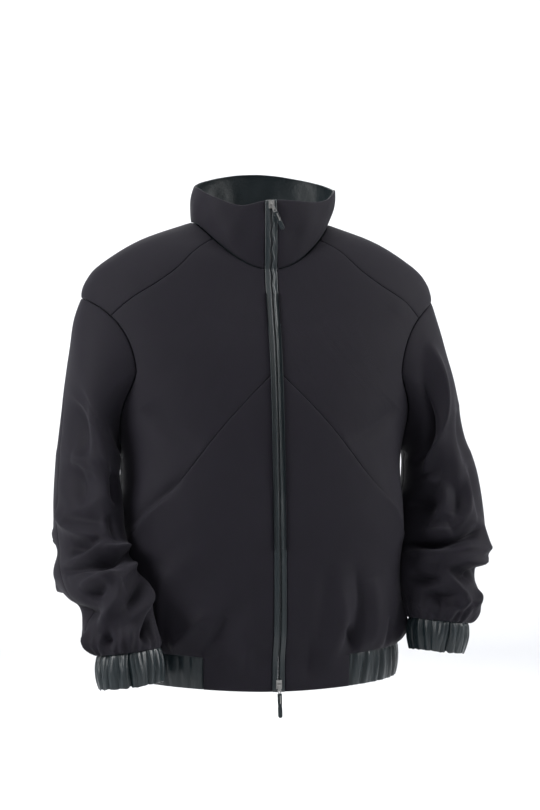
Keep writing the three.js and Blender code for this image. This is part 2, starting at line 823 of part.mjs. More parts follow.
// A gathered elastic cuff that carries the sleeve on to the wrist.
function cuff(sleeve) {
  const first = sleeve.sections.at(-1);
  const columns = CUFF_GATHERS.count * CUFF_GATHERS.samples;
  const place = (i, j) => {
    const down = j / 2;
    const end = sleeve.cuffEnd;
    const section = {
      ...first,
      x: first.x + end.x * down,
      y: first.y + end.y * down,
      z: first.z + end.z * down,
      wide: lerp(first.wide, end.wide, down),
      deep: lerp(first.deep, end.deep, down),
    };
    const angle = (i / columns) * 2 * Math.PI;
    const seat = sectionPoint(section, angle);
    const centre = new THREE.Vector3(section.x, section.y, section.z);
    const outward = seat.clone().sub(centre).normalize();
    const wave = CUFF_GATHERS.height * Math.cos(angle * CUFF_GATHERS.count);
    seat.addScaledVector(outward, wave * (down === 0.5 ? 0.5 : 1));
    return {
      point: mirrored(seat, sleeve.side),
      direction: mirrored(outward, sleeve.side),
    };
  };
  return clothWall({ columns, rows: 2, place, thickness: CUFF_GATHERS.wall, loop: true });
}

// The gathered satin hem band, from one front round the back to the other.
function hemBand() {
  const columns = BAND_GATHERS.count * BAND_GATHERS.samples;
  const place = (i, j) => {
    const degrees = lerp(BAND_FRONT, 360 - BAND_FRONT, i / columns);
    const at = lerp(0, HEM_SEAM, j / 2);
    const direction = plainBodyNormal(degrees, at);
    const wave = BAND_GATHERS.height * Math.cos((i / BAND_GATHERS.samples) * 2 * Math.PI);
    const point = bodyPoint(degrees, at).addScaledVector(direction, wave - BAND_GATHERS.height);
    return { point, direction };
  };
  return clothWall({ columns, rows: 2, place, thickness: SATIN_WALL });
}

// The stand collar's wool, and the satin that lines it.
function collar(inset, wall, startWidth, topDrop) {
  const counts = [CELLS.neckFront, CELLS.neckBack, CELLS.neckFront];
  const columns = counts.reduce((sum, count) => sum + count, 0);
  const { neckDegrees } = SHOULDER_SEAM;
  const start = widthDegrees(1, startWidth);
  const stops = [start, neckDegrees, 360 - neckDegrees, 360 - start];
  const place = (i, j) => {
    const [part, t] = stretch(i / columns, counts);
    const degrees = lerp(stops[part], stops[part + 1], t);
    const up = (j / CELLS.collar) * (1 - topDrop);
    const direction = j === 0 ? neckDirection(degrees) : collarNormal(degrees, up);
    const point = collarPoint(degrees, up).addScaledVector(direction, -inset);
    return { point, direction };
  };
  return clothWall({ columns, rows: CELLS.collar, place, thickness: wall });
}

// A narrow strip along the zip, over the body and on up the collar.
function zipStrip({ side, inner, outer, inset, wall }) {
  const rows = CELLS.zip + CELLS.zipCollar;
  const place = (i, j) => {
    const width = i === 0 ? inner : outer;
    const along = j <= CELLS.zip ? j / CELLS.zip : 1 + (j - CELLS.zip) / CELLS.zipCollar;
    const { point, direction } = centreFront(along, width * side);
    return { point: point.addScaledVector(direction, -inset), direction };
  };
  return clothWall({ columns: 1, rows, place, thickness: wall });
}

// A place beside the centre front: along is 0 at the hem, 1 at the neck, 2 at the top.
function centreFront(along, width) {
  const degrees = widthDegrees(along, Math.abs(width)) * Math.sign(width);
  if (along < 1) {
    return { point: bodyPoint(degrees, along), direction: bodyNormal(degrees, along) };
  }
  const up = along - 1;
  const direction = along === 1 ? neckDirection(degrees) : collarNormal(degrees, up);
  return { point: collarPoint(degrees, up), direction };
}

function toManifold(geometry) {
  const bare = geometry.clone();
  bare.deleteAttribute("normal");
  bare.deleteAttribute("uv");
  const merged = mergeVertices(bare, 1e-5);
  return new wasm.Manifold(new wasm.Mesh({
    numProp: 3,
    vertProperties: new Float32Array(merged.attributes.position.array),
    triVerts: new Uint32Array(merged.index.array),
  }));
}

function fromManifold(solid) {
  const mesh = solid.getMesh();
  return solidGeometry(Array.from(mesh.vertProperties), Array.from(mesh.triVerts));
}

function block(wide, deep, tall, x, y, z) {
  return toManifold(new THREE.BoxGeometry(wide, deep, tall).translate(x, y, z));
}

function rod(radius, length) {
  return toManifold(new THREE.CylinderGeometry(radius, radius, length, 16).rotateZ(Math.PI / 2));
}

// The slider's face plate, its neck between the strips and two ears for the pull's pin.
function sliderGeometry() {
  const plateY = SLIDER.pinStand - SLIDER.thick / 2;
  const neckDeep = STRIP_RAISE + WOOL_WALL;
  let solid = block(SLIDER.wide, SLIDER.thick, SLIDER.tall, 0, plateY, 0)
    .add(block(SLIDER.neck, neckDeep, SLIDER.neckTall, 0, SLIDER.pinStand + neckDeep / 2 - 0.1, 0));
  for (const side of [-1, 1]) {
    const x = side * (EAR.inner + EAR.thick / 2);
    const deep = EAR.half + SLIDER.pinStand - SLIDER.thick + 0.2;
    solid = solid.add(block(EAR.thick, deep, EAR.half * 2, x, deep / 2 - EAR.half, 0));
  }
  return fromManifold(solid.subtract(rod(EAR.hole, 10)));
}

function pullerGeometry(hang) {
  const neck = block(PULLER.neck, PULLER.thick, PULLER.tall / 2, 0, 0, -PULLER.tall / 4);
  const bladeTall = PULLER.tall - PULLER.shoulder;
  const blade = block(
    PULLER.wide, PULLER.thick, bladeTall, 0, 0, -PULLER.shoulder - bladeTall / 2,
  );
  const eye = block(PULLER.wide - 2, 4, 2.4, 0, 0, -PULLER.tall + 2.4);
  const plate = neck.add(blade).subtract(eye).rotate([0, -hang, 0]);
  return fromManifold(
    plate.add(rod(PULLER.knuckle, (EAR.inner - 0.35) * 2))
      .add(rod(PULLER.pin, (EAR.inner + EAR.thick) * 2)),
  );
}

function tabGeometry(tall) {
  const half = TAB.wide / 2;
  const outline = new THREE.Shape();
  outline.moveTo(-half, 0);
  outline.lineTo(-half, half - tall);
  outline.absarc(0, half - tall, half, Math.PI, 2 * Math.PI, false);
  outline.lineTo(half, 0);
  outline.closePath();
  const flat = new THREE.ExtrudeGeometry(outline, {
    depth: TAB.thick, bevelEnabled: false, curveSegments: 8,
  });
  flat.translate(0, -PULLER.tall - SEAM_GAP, -TAB.thick / 2);
  return fromManifold(toManifold(flat.rotateX(Math.PI / 2)));
}

function barGeometry() {
  const bar = new THREE.BoxGeometry(TAB.barWide, TAB.barThick, TAB.barTall);
  const stand = TAB.thick / 2 + SEAM_GAP + TAB.barThick / 2;
  return bar.translate(0.6, -stand, -PULLER.tall - TAB.barTall / 2 - 3);
}

function named(name, geometry, finish) {
  const mesh = new THREE.Mesh(geometry, finish);
  mesh.name = name;
  return mesh;
}

// A slider and its pull, seated on the zip at one height of the centre front.
function zipPull(row) {
  const { point, direction } = centreFront(row.along, 1e-6);
  const seat = new THREE.Group();
  const stand = STRIP_RAISE + SEAM_GAP + SLIDER.pinStand;
  seat.position.set(0, point.y - stand, point.z - direction.z * stand);
  const slider = named(`slider_${row.name}`, sliderGeometry(), COLOURS.metal);
  slider.rotation.x = Math.asin(direction.z) * -1;
  const hanging = new THREE.Group();
  hanging.rotation.y = row.hang * DEG * -1;
  hanging.add(
    named(`pull_tab_${row.name}`, tabGeometry(row.tabTall), COLOURS.satin),
    named(`pull_bar_${row.name}`, barGeometry(), COLOURS.metal),
  );
  seat.add(slider, named(`puller_${row.name}`, pullerGeometry(row.hang), COLOURS.metal), hanging);
  return seat;
}

const jacket = new THREE.Group();
for (const [name, sleeve] of Object.entries(SLEEVES)) {
  jacket.add(
    named(`front_upper_${name}`, upperFront(sleeve), COLOURS.wool),
    named(`front_lower_${name}`, lowerFront(sleeve), COLOURS.wool),
    named(`sleeve_front_${name}`, sleeveHalf(sleeve, true), COLOURS.wool),
    named(`sleeve_back_${name}`, sleeveHalf(sleeve, false), COLOURS.wool),
    named(`cuff_${name}`, cuff(sleeve), COLOURS.satin),
    named(`zip_strip_${name}`, zipStrip({
      side: sleeve.side,
      inner: STRIP_INNER,
      outer: FRONT_EDGE,
      inset: -STRIP_RAISE,
      wall: SATIN_WALL,
    }), COLOURS.satin),
    named(`zip_tape_${name}`, zipStrip({
      side: sleeve.side,
      inner: TAPE_INNER,
      outer: TAPE_OUTER,
      inset: WOOL_WALL + TAPE_CLEAR,
      wall: TAPE_WALL,
    }), COLOURS.tape),
  );
}
jacket.add(
  named("back", backPanel(), COLOURS.wool),
  named("hem_band", hemBand(), COLOURS.satin),
  named("collar", collar(0, WOOL_WALL, FRONT_EDGE, 0), COLOURS.wool),
  named(
    "collar_lining",
    collar(WOOL_WALL + SEAM_GAP, LINING_WALL, TAPE_OUTER + 1, 0.02),
    COLOURS.satin,
  ),
);
ZIP_PULLS.forEach((row) => jacket.add(zipPull(row)));

export default jacket;
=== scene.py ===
import json
import math

import bmesh
import bpy
import numpy as np
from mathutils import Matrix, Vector


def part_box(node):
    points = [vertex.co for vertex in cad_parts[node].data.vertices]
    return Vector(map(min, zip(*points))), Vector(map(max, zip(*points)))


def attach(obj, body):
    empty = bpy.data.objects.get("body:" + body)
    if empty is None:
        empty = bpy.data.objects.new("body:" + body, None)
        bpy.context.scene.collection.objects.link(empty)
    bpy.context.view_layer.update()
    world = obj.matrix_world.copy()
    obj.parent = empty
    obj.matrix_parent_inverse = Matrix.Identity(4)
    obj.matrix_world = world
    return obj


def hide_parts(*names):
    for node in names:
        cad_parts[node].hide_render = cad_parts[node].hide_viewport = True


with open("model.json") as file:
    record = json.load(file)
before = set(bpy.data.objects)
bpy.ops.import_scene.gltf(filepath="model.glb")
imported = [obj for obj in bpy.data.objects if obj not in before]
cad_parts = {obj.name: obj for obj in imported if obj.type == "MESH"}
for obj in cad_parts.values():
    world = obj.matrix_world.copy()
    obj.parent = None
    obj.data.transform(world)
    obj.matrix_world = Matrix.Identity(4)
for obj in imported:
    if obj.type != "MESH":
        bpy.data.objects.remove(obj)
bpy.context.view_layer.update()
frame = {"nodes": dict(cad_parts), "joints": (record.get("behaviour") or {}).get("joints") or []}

bl_info = {
    "name": "Reversible jacket",
    "version": (1, 0, 0),
    "blender": (4, 5, 0),
    "location": "View3D > Sidebar > Jacket",
    "description": "Sews a reversible wool and satin jacket over its CAD frame",
    "category": "Object",
}

MM = 0.001
FAR = 1e9
JACKET = "jacket"

# Zip widths from the centre front, as in the CAD.
STRIP_INNER = 1.2
FRONT_EDGE = 9.2
TAPE_INNER = 0.4
TAPE_OUTER = 13.0
STRIP_RAISE = 1.3
TAPE_DEPTH = 4.3


def table(columns, rows):
    """A table written out row by row, as one array of numbers for each named column."""
    names = columns.split()
    return dict(zip(names, np.array(rows.split(), float).reshape(-1, len(names)).T))


# The body's rings from hem (at 0) to neck seam (at 1), seen as squared ovals.
RING_COLUMNS = "at front_y front_z side_x side_y side_z back_y back_z square"
BODY_RINGS = table(RING_COLUMNS, """
    0.0 -156 -687 212 -2 -676 134 -668 2.5
    0.065 -158 -640 214 -2 -628 137 -620 2.5
    0.12 -169 -600 219 -2 -590 148 -582 2.4
    0.22 -171 -520 215 -2 -512 148 -505 2.5
    0.32 -168 -440 218 -3 -434 146 -428 2.9
    0.46 -158 -335 215 -4 -340 142 -330 2.8
    0.56 -150 -262 240 0 -245 135 -235 2.4
    0.66 -138 -195 262 4 -165 124 -150 2.3
    0.75 -121 -140 275 8 -100 110 -78 2.2
    0.82 -110 -108 263 9 -66 100 -38 2.2
    0.88 -104 -88 236 9 -41 92 -12 2.2
    0.94 -100 -73 182 7 -9 84 8 2.15
    1.0 -97 -60 106 2 18 76 27 2.1
""")
HEM_SEAM = 0.065
ARC_RADIUS = 190

COLLAR_TOP = {
    "front_y": -97, "front_z": 46, "side_x": 111, "side_y": 0, "side_z": 72, "back_y": 92,
    "back_z": 103, "square": 2.2,
}
COLLAR_LEAN = 12
COLLAR_CROWN = 3
COLLAR_DIPS = ((-27, 17, 9), (52, 22, 4))
COLLAR_LIFT = 0.4

ARMHOLE = {
    "low": 0.46, "high": 0.75, "middle": 92, "front_spread": 27.5, "back_spread": 21, "point": 0.6,
}
SHOULDER_SEAM = {"neck_degrees": 52, "bend_degrees": 53, "bend_at": 0.84, "armhole_turn": 0.76}
DIAGONAL = table("at degrees height", """
    0 3 0.625
    0.15 15.7 0.573
    0.36 35 0.482
    0.5 47 0.405
    0.58 54 0.366
    0.73 66 0.296
    1 92 0.262
""")
SIDE_SPLIT = 0.262
BAND_FRONT = 38
POCKET_LIP = 4.5

# Large soft folds of the body: degrees round it, height, tilt from level, and size.
FOLD_COLUMNS = "around along tilt length width height"
BODY_FOLDS = table(FOLD_COLUMNS, """
    -24 -590 62 110 34 -4
    -34 -604 70 70 26 4
    29 -575 84 150 30 3.5
    22 -560 86 120 26 -2.5
    36 -600 80 70 22 -4
    -12 -480 80 150 40 2.5
    -50 -520 50 120 40 4
    60 -560 70 110 34 4
    150 -560 80 140 34 4
    172 -500 86 180 40 -4
    205 -560 96 150 34 4
    232 -540 100 120 30 -4
    128 -300 60 150 34 -5
    232 -300 120 150 34 -5
    158 -330 70 160 44 4
    204 -340 110 150 44 4
    182 -110 0 140 34 3
    118 -470 40 110 30 4
    244 -470 140 110 30 4
""")

# Sleeve sections down each arm, and its large folds, as in the CAD.
SECTION_COLUMNS = "at x y z wide deep rise turn pitch"
SLEEVE_ARC = 70
ARMHOLE_FADE = 130
SLEEVES = {
    "right": {
        "side": -1,
        "sections": table(SECTION_COLUMNS, """
            0 244 3 -219 125 103 75.6 0 0
            45 254 1 -235 106 100 71.8 0 0
            90 260 -1 -261 86 97 66.7 0 0
            145 264 -4 -297 67 94 56 4 0
            200 267 -10 -340 54 92 40 10 0
            255 267 -18 -384 49 90 22 14 0
            305 268 -29 -428 47 88 7 15 0
            350 267 -47 -466 47 86 -5 16 0
            390 265 -70 -498 50 84 -10 18 4
            425 258 -102 -525 52 70 -14 20 8
            460 241 -127 -553 51 60 -15 24 10
            495 235 -139 -584 51 54 -13 24 10
            520 231 -146 -606 51 50 -9 20 8
            540 221 -149 -623 47 42 -6 10 4
        """),
        "folds": table(FOLD_COLUMNS, """
            57 327 14 84 26 6
            62 376 -34 90 26 6
            48 352 -6 66 22 -7
            90 396 -9 140 24 -9
            118 370 2 70 24 6
            67 422 -15 60 22 7
            50 452 -52 90 24 7
            92 440 -34 80 24 -8
            122 462 -34 90 24 6
            110 505 -66 44 18 -6
            60 170 88 90 44 -6
            55 240 80 70 36 -5
            88 210 84 130 30 4
            24 290 30 90 30 4
            -60 330 12 110 28 6
            -70 372 -8 120 26 -7
            -55 410 -22 100 26 6
            -90 450 20 90 26 -6
            -60 495 14 80 24 5
            -75 180 86 130 40 -5
        """),
        "inner_bulges": ((155, 140, 8.0, 45),),
        "cuff_end": {"x": -3, "y": -5, "z": -48, "wide": 49, "deep": 40},
    },
    "left": {
        "side": 1,
        "sections": table(SECTION_COLUMNS, """
            0 244 3 -219 125 103 75.6 0 0
            45 256 1 -238 102 100 73 0 0
            90 265 -1 -265 82 96 66.9 0 0
            145 274 -4 -301 64 92 53 0 0
            200 278 -7 -343 58 90 35 0 0
            255 283 -10 -386 64 88 19 0 0
            300 285 -18 -424 66 86 11 0 0
            345 285 -30 -462 66 82 2 2 0
            385 282 -43 -495 64 78 -3 5 2
            415 271 -58 -521 58 70 -7 8 4
            445 271 -70 -548 59 62 -7 10 6
            475 271 -79 -572 56 55 -8 10 6
            500 263 -86 -594 47 44 -6 8 4
        """),
        "folds": table(FOLD_COLUMNS, """
            104 150 84 170 28 6
            86 262 74 130 28 6
            112 215 84 100 30 -7
            62 316 60 80 26 5
            84 356 -22 100 26 6
            38 345 -46 90 26 6
            78 378 -8 140 22 -7
            52 392 -14 100 24 6
            96 412 -10 100 22 -8
            44 428 36 80 24 6
            74 452 -20 110 24 7
            80 474 0 90 20 -6
            60 486 30 40 18 4
            50 190 84 120 40 -4
            -60 320 12 110 28 6
            -74 362 -10 120 26 -7
            -58 400 -24 100 26 6
            -90 436 18 90 26 -6
            -62 470 12 80 22 5
            -70 190 88 140 40 -5
        """),
        "inner_bulges": ((155, 145, 8.0, 45), (172, 412, 8.0, 60)),
        "cuff_end": {"x": -4, "y": -3, "z": -45, "wide": 43, "deep": 38},
    },
}

# Finer creases, each a bent line on the cloth: its two ends and the point it bows
# towards, in degrees round the sleeve and millimetres down it, then its half-width
# and height.
CREASE_COLUMNS = "a0 l0 a1 l1 a2 l2 width height"
CREASE_DEPTH = 2.5
CREASE_STEPS = 17
CREASE_BLUNTNESS = 0.4
BODY_CALM = 0.8
BAND_SEAM_REACH = 0.02
BAND_FADE_DEGREES = 9
SLEEVE_TOP_CALM = 40
SLEEVE_END_CALM = 25
BULGE_DEGREES = 50
CUFF_TUCKS = {"swell": 3.0, "top": 13, "depth": 2.6, "reach": 11, "count": 23, "seed": 4}
HEM_TUCKS = {"swell": 4.6, "top": 18, "depth": 2.6, "reach": 16, "count": 44, "seed": 8}
TUCKS_PER_AT = 700
SLEEVE_CREASES = {
    "right": table(CREASE_COLUMNS, """
        -15 305 35 338 70 338 8 6
        72 342 80 365 0 388 8 6
        15 312 45 318 80 312 12 -6
        20 356 40 360 58 350 8 -4
        0 392 70 392 135 374 7 -9
        72 362 100 370 132 362 8 5
        5 404 70 406 130 388 8 4
        25 424 60 408 84 420 7 6
        84 422 85 445 36 474 7 7
        24 438 55 436 68 426 8 -9
        86 428 110 418 142 402 9 5
        68 466 100 458 132 436 8 -9
        76 486 105 478 140 458 10 4
        -50 452 0 464 34 462 8 -8
        124 500 106 516 100 532 8 -8
        30 500 46 512 44 532 8 -7
        74 498 74 512 76 530 9 4
        -10 490 0 506 6 526 9 5
        40 150 34 190 46 228 22 -8
        70 130 66 180 62 222 14 4
        34 236 30 265 42 296 20 -7
        104 220 112 250 104 282 14 -7
        20 226 50 232 84 214 12 4
        90 300 100 320 96 350 12 -4
        -30 330 -80 344 -120 334 9 -7
        -40 348 -84 362 -130 350 9 6
        -50 398 -90 386 -140 394 8 -8
        -40 418 -80 410 -120 424 8 6
        -60 446 -100 460 -150 446 8 -7
        -70 486 -110 478 -150 488 9 5
        -60 500 -64 516 -70 532 8 -6
        -120 498 -116 514 -110 532 8 -7
        -60 140 -70 190 -56 240 18 -6
    """),
    "left": table(CREASE_COLUMNS, """
        56 26 66 90 98 135 9 6
        98 135 126 176 126 212 9 6
        126 212 122 236 106 240 9 5
        84 40 124 100 142 172 13 -9
        106 240 92 288 126 326 9 6
        156 262 136 286 112 284 13 -9
        66 240 66 318 96 332 8 6
        96 332 112 340 134 336 8 5
        90 250 82 290 92 312 10 -5
        50 236 46 290 58 330 12 -4
        162 368 112 368 46 340 6 -10
        152 386 112 380 62 370 8 5
        82 398 54 372 12 370 7 5
        12 386 58 390 84 404 7 7
        84 408 86 424 60 455 7 7
        58 456 60 480 94 480 7 6
        96 480 116 486 142 476 8 5
        148 428 120 436 92 426 9 -10
        0 404 30 406 56 416 7 -9
        122 458 92 464 68 450 7 -7
        20 440 34 456 46 470 9 5
        114 480 104 490 92 496 8 -6
        68 480 62 490 60 497 7 -6
        140 400 118 406 100 402 9 4
        40 150 46 190 40 230 20 -4
        -34 322 -84 336 -130 326 9 -7
        -40 342 -84 354 -130 342 9 6
        -40 380 -90 370 -140 382 8 -8
        -50 404 -80 396 -120 408 8 6
        -60 430 -100 442 -140 430 8 -7
        -64 462 -104 456 -140 466 9 5
        -64 476 -66 486 -70 496 8 -5
        -120 476 -116 486 -112 496 8 -6
        -60 130 -74 180 -58 230 18 -6
    """),
}
BODY_CREASES = table(CREASE_COLUMNS, """
    -50 -394 -60 -436 -73 -464 8 3
    -45 -366 -56 -412 -69 -442 7 -3.5
    -73 -464 -71 -505 -60 -548 11 3
    -82 -470 -82 -515 -72 -552 10 -3
    52 -400 62 -438 74 -462 8 1.5
    37 -505 43 -570 37 -630 9 -4
    47 -520 50 -570 47 -632 11 3
    31 -540 34 -590 31 -634 10 3
    -26 -572 -29 -600 -40 -632 8 -5
    -34 -566 -42 -594 -52 -628 10 4
    34 -590 37 -606 40 -630 7 -5
    56 -580 60 -606 58 -632 9 -4
    -62 -584 -64 -606 -60 -632 9 -4
    70 -560 74 -600 70 -630 10 4
    -72 -560 -78 -600 -74 -630 10 4
    -14 -610 -20 -640 -16 -668 10 3
    14 -606 20 -640 15 -670 10 -3
    87 -86 80 -104 71 -136 7 -3
    80 -82 72 -100 62 -128 9 3
    -86 -88 -80 -104 -73 -128 8 -2
    62 -262 54 -296 36 -322 12 -3
    -62 -262 -54 -300 -38 -330 12 -3
    -50 -500 -58 -560 -52 -612 12 3
    112 -120 124 -210 120 -300 12 -5
    248 -120 236 -210 240 -300 12 -5
    132 -130 142 -220 134 -320 14 4
    228 -130 218 -220 226 -320 14 4
    120 -470 128 -540 122 -612 10 -4
    142 -500 150 -560 146 -614 11 4
    166 -480 162 -550 168 -616 10 -4
    186 -510 190 -570 186 -616 11 4
    206 -480 212 -550 204 -614 10 -4
    232 -500 226 -560 234 -614 10 4
    160 -20 180 -34 200 -20 10 -3
""")


def lerp(a, b, t):
    return a + (b - a) * t


def smoothstep(x, low, high):
    t = np.clip((x - low) / (high - low), 0, 1)
    return t * t * (3 - 2 * t)


def unit(vectors):
    return vectors / np.linalg.norm(vectors, axis=-1, keepdims=True)


def smooth_rows(rows, at):
    """Every column of a table keyed by "at", on a smooth curve at those places."""
    keys = rows["at"]
    at = np.asarray(at, float)
    k = np.clip(np.searchsorted(keys, at) - 1, 0, len(keys) - 2)
    before = np.maximum(k - 1, 0)
    after = np.minimum(k + 2, len(keys) - 1)
    span = keys[k + 1] - keys[k]
    t = (at - keys[k]) / span
    found = {}
    for name, column in rows.items():
        a, b = column[k], column[k + 1]
        leave = (b - column[before]) / (keys[k + 1] - keys[before]) * span
        arrive = (column[after] - a) / (keys[after] - keys[k]) * span
        found[name] = (
            (2 * t**3 - 3 * t**2 + 1) * a + (t**3 - 2 * t**2 + t) * leave
            + (3 * t**2 - 2 * t**3) * b + (t**3 - t**2) * arrive
        )
    return found


def surface_normal(point, u, v, du, dv):
    along_u = point(u + du, v) - point(u - du, v)
    along_v = point(u, v + dv) - point(u, v - dv)
    return unit(np.cross(along_u, along_v))


def nearest_turn(degrees, to):
    return degrees + 360 * np.round((to - degrees) / 360)


def fold_height(folds, around, along, radius):
    """Height of the large soft folds, as in the CAD, in millimetres."""
    height = np.zeros(np.shape(around))
    for k in range(len(folds["around"])):
        fold = {name: column[k] for name, column in folds.items()}
        dx = np.radians(around - nearest_turn(fold["around"], around)) * radius
        dy = along - fold["along"]
        c, s = math.cos(math.radians(fold["tilt"])), math.sin(math.radians(fold["tilt"]))
        u = (dx * c + dy * s) / (fold["length"] / 2)
        v = (dy * c - dx * s) / (fold["width"] / 2)
        height += fold["height"] * np.exp(-(u**4) - v * v)
    return height


def crease_height(creases, around, along, radius):
    """Height of the finer creases: sharp at the crest, hollow beside it, faded at the ends."""
    height = np.zeros(np.shape(around))
    steps = np.linspace(0, 1, CREASE_STEPS)
    for k in range(len(creases["width"])):
        c = {name: column[k] for name, column in creases.items()}
        bend = [(1 - steps) ** 2, 2 * steps * (1 - steps), steps**2]
        line_a = sum(w * c[n] for w, n in zip(bend, ("a0", "a1", "a2")))
        line_l = sum(w * c[n] for w, n in zip(bend, ("l0", "l1", "l2")))
        middle = line_a[len(steps) // 2]
        x = np.radians(around - nearest_turn(middle, around) + middle) * radius
        px, py = np.radians(line_a) * radius, line_l
        best = np.full(np.shape(around), FAR)
        share = np.zeros(np.shape(around))
        for i in range(len(steps) - 1):
            ex, ey = px[i + 1] - px[i], py[i + 1] - py[i]
            t = np.clip(((x - px[i]) * ex + (along - py[i]) * ey) / (ex * ex + ey * ey), 0, 1)
            off = np.hypot(x - px[i] - t * ex, along - py[i] - t * ey)
            nearer = off < best
            best = np.where(nearer, off, best)
            share = np.where(nearer, (i + t) / (len(steps) - 1), share)
        blunt = CREASE_BLUNTNESS * c["width"]
        profile = np.exp(-(np.sqrt(best**2 + blunt**2) - blunt) / c["width"])
        fade = np.sin(np.pi * np.clip(share, 0.02, 0.98)) ** 0.6
        height += CREASE_DEPTH * c["height"] * profile * fade
    return height


def ring_point(ring, degrees):
    """A point on one ring, at an angle from the centre front round to the wearer's left."""
    c, s = np.cos(np.radians(degrees)), np.sin(np.radians(degrees))
    front = c > 0
    depth = np.where(front, ring["side_y"] - ring["front_y"], ring["back_y"] - ring["side_y"])
    total = np.abs(c / depth) ** ring["square"] + np.abs(s / ring["side_x"]) ** ring["square"]
    radius = total ** (-1 / ring["square"])
    end_z = np.where(front, ring["front_z"], ring["back_z"])
    z = lerp(ring["side_z"], end_z, c * c)
    return np.stack([radius * s, ring["side_y"] - radius * c, z], -1)


def plain_body(degrees, at):
    return ring_point(smooth_rows(BODY_RINGS, at), degrees)


def body_normal(degrees, at):
    return surface_normal(plain_body, degrees, at, 0.2, 0.002)


def body_point(degrees, at, calm=1.0):
    point = plain_body(degrees, at)
    height = fold_height(BODY_FOLDS, degrees, point[..., 2], ARC_RADIUS) * calm
    creased = BODY_CALM * crease_height(BODY_CREASES, degrees, point[..., 2], ARC_RADIUS)
    height += creased * np.minimum(calm * 4, 1)
    aside = np.abs((degrees + 180) % 360 - 180)
    banded = smoothstep(aside, BAND_FRONT - 1, BAND_FRONT + BAND_FADE_DEGREES)
    height *= 1 - banded * np.exp(-(((at - HEM_SEAM) / BAND_SEAM_REACH) ** 2))
    above = (at - HEM_SEAM) * TUCKS_PER_AT
    height += banded * blouse(above, degrees, HEM_TUCKS)
    return point + body_normal(degrees, at) * height[..., None]


def width_degrees(at, width):
    """The angle on a ring that lies a given width from the centre front."""
    ring = smooth_rows(BODY_RINGS, np.minimum(at, 1))
    return np.degrees(np.arctan(width / (ring["side_y"] - ring["front_y"])))


def collar_point(degrees, up):
    low = plain_body(degrees, np.ones(np.shape(degrees)))
    high = ring_point(COLLAR_TOP, degrees)
    c, s = np.cos(np.radians(degrees)), np.sin(np.radians(degrees))
    front_z = lerp(COLLAR_TOP["front_z"], COLLAR_TOP["side_z"], s**6)
    back_z = lerp(COLLAR_TOP["side_z"], COLLAR_TOP["back_z"], np.abs(c) ** 1.15)
    high[..., 2] = np.where(c > 0, front_z, back_z)
    for centre, spread, drop in COLLAR_DIPS:
        off = (nearest_turn(degrees, centre) - centre) / spread
        high[..., 2] -= drop * np.exp(-off * off)
    high[..., 0] += COLLAR_LEAN * (1 - np.cos(np.radians(degrees) / 2) ** 4)
    crown = COLLAR_CROWN * 4 * up * (1 - up)
    lift = np.stack([crown * s, -crown * c, COLLAR_LIFT * (1 - up)], -1)
    return lerp(low, high, up[..., None]) + lift


def collar_normal(degrees, up):
    return surface_normal(collar_point, degrees, up, 0.4, 0.02)


def armhole_place(turn):
    """A place on the armhole, by its turn from the shoulder tip down the front to the armpit."""
    middle = (ARMHOLE["low"] + ARMHOLE["high"]) / 2
    half = (ARMHOLE["high"] - ARMHOLE["low"]) / 2
    spread = np.where(np.sin(turn) > 0, ARMHOLE["front_spread"], ARMHOLE["back_spread"])
    rounded = half * np.cos(turn)
    pointed = half * (np.abs(np.sin(turn)) - 1)
    blend = np.where(np.cos(turn) < 0, lerp(rounded, pointed, ARMHOLE["point"]), rounded)
    return ARMHOLE["middle"] - spread * np.sin(turn), middle + blend


def section_frame(row):
    rise, turn, pitch = (np.radians(row[name]) for name in ("rise", "turn", "pitch"))
    centre = np.stack([row["x"], row["y"], row["z"]], -1)
    outward = np.stack([
        np.cos(rise) * np.cos(turn), -np.cos(rise) * np.sin(turn), np.sin(rise),
    ], -1)
    forward = np.stack([
        -np.cos(pitch) * np.sin(turn), -np.cos(pitch) * np.cos(turn), np.sin(pitch),
    ], -1)
    return centre, outward * np.array(row["wide"])[..., None], forward * np.array(row["deep"])[..., None]


def section_point(row, angle):
    centre, outward, forward = section_frame(row)
    return centre + outward * np.cos(angle)[..., None] + forward * np.sin(angle)[..., None]


def section_angle(row, point):
    centre, outward, forward = section_frame(row)
    away = point - centre
    return np.arctan2(
        (away * forward).sum(-1) / (forward**2).sum(-1),
        (away * outward).sum(-1) / (outward**2).sum(-1),
    )


def plain_sleeve(sleeve, turn, at):
    """A sleeve's smooth form, as if for the wearer's left arm."""
    seam = plain_body(*armhole_place(turn))
    first = smooth_rows(sleeve["sections"], np.zeros(np.shape(turn)))
    angle = section_angle(first, seam)
    slip = seam - section_point(first, angle)
    fade = np.maximum(1 - at / ARMHOLE_FADE, 0) ** 2
    return section_point(smooth_rows(sleeve["sections"], at), angle) + slip * fade[..., None]


def around_degrees(sleeve, turn):
    first = smooth_rows(sleeve["sections"], np.zeros(np.shape(turn)))
    return np.degrees(section_angle(first, plain_body(*armhole_place(turn))))


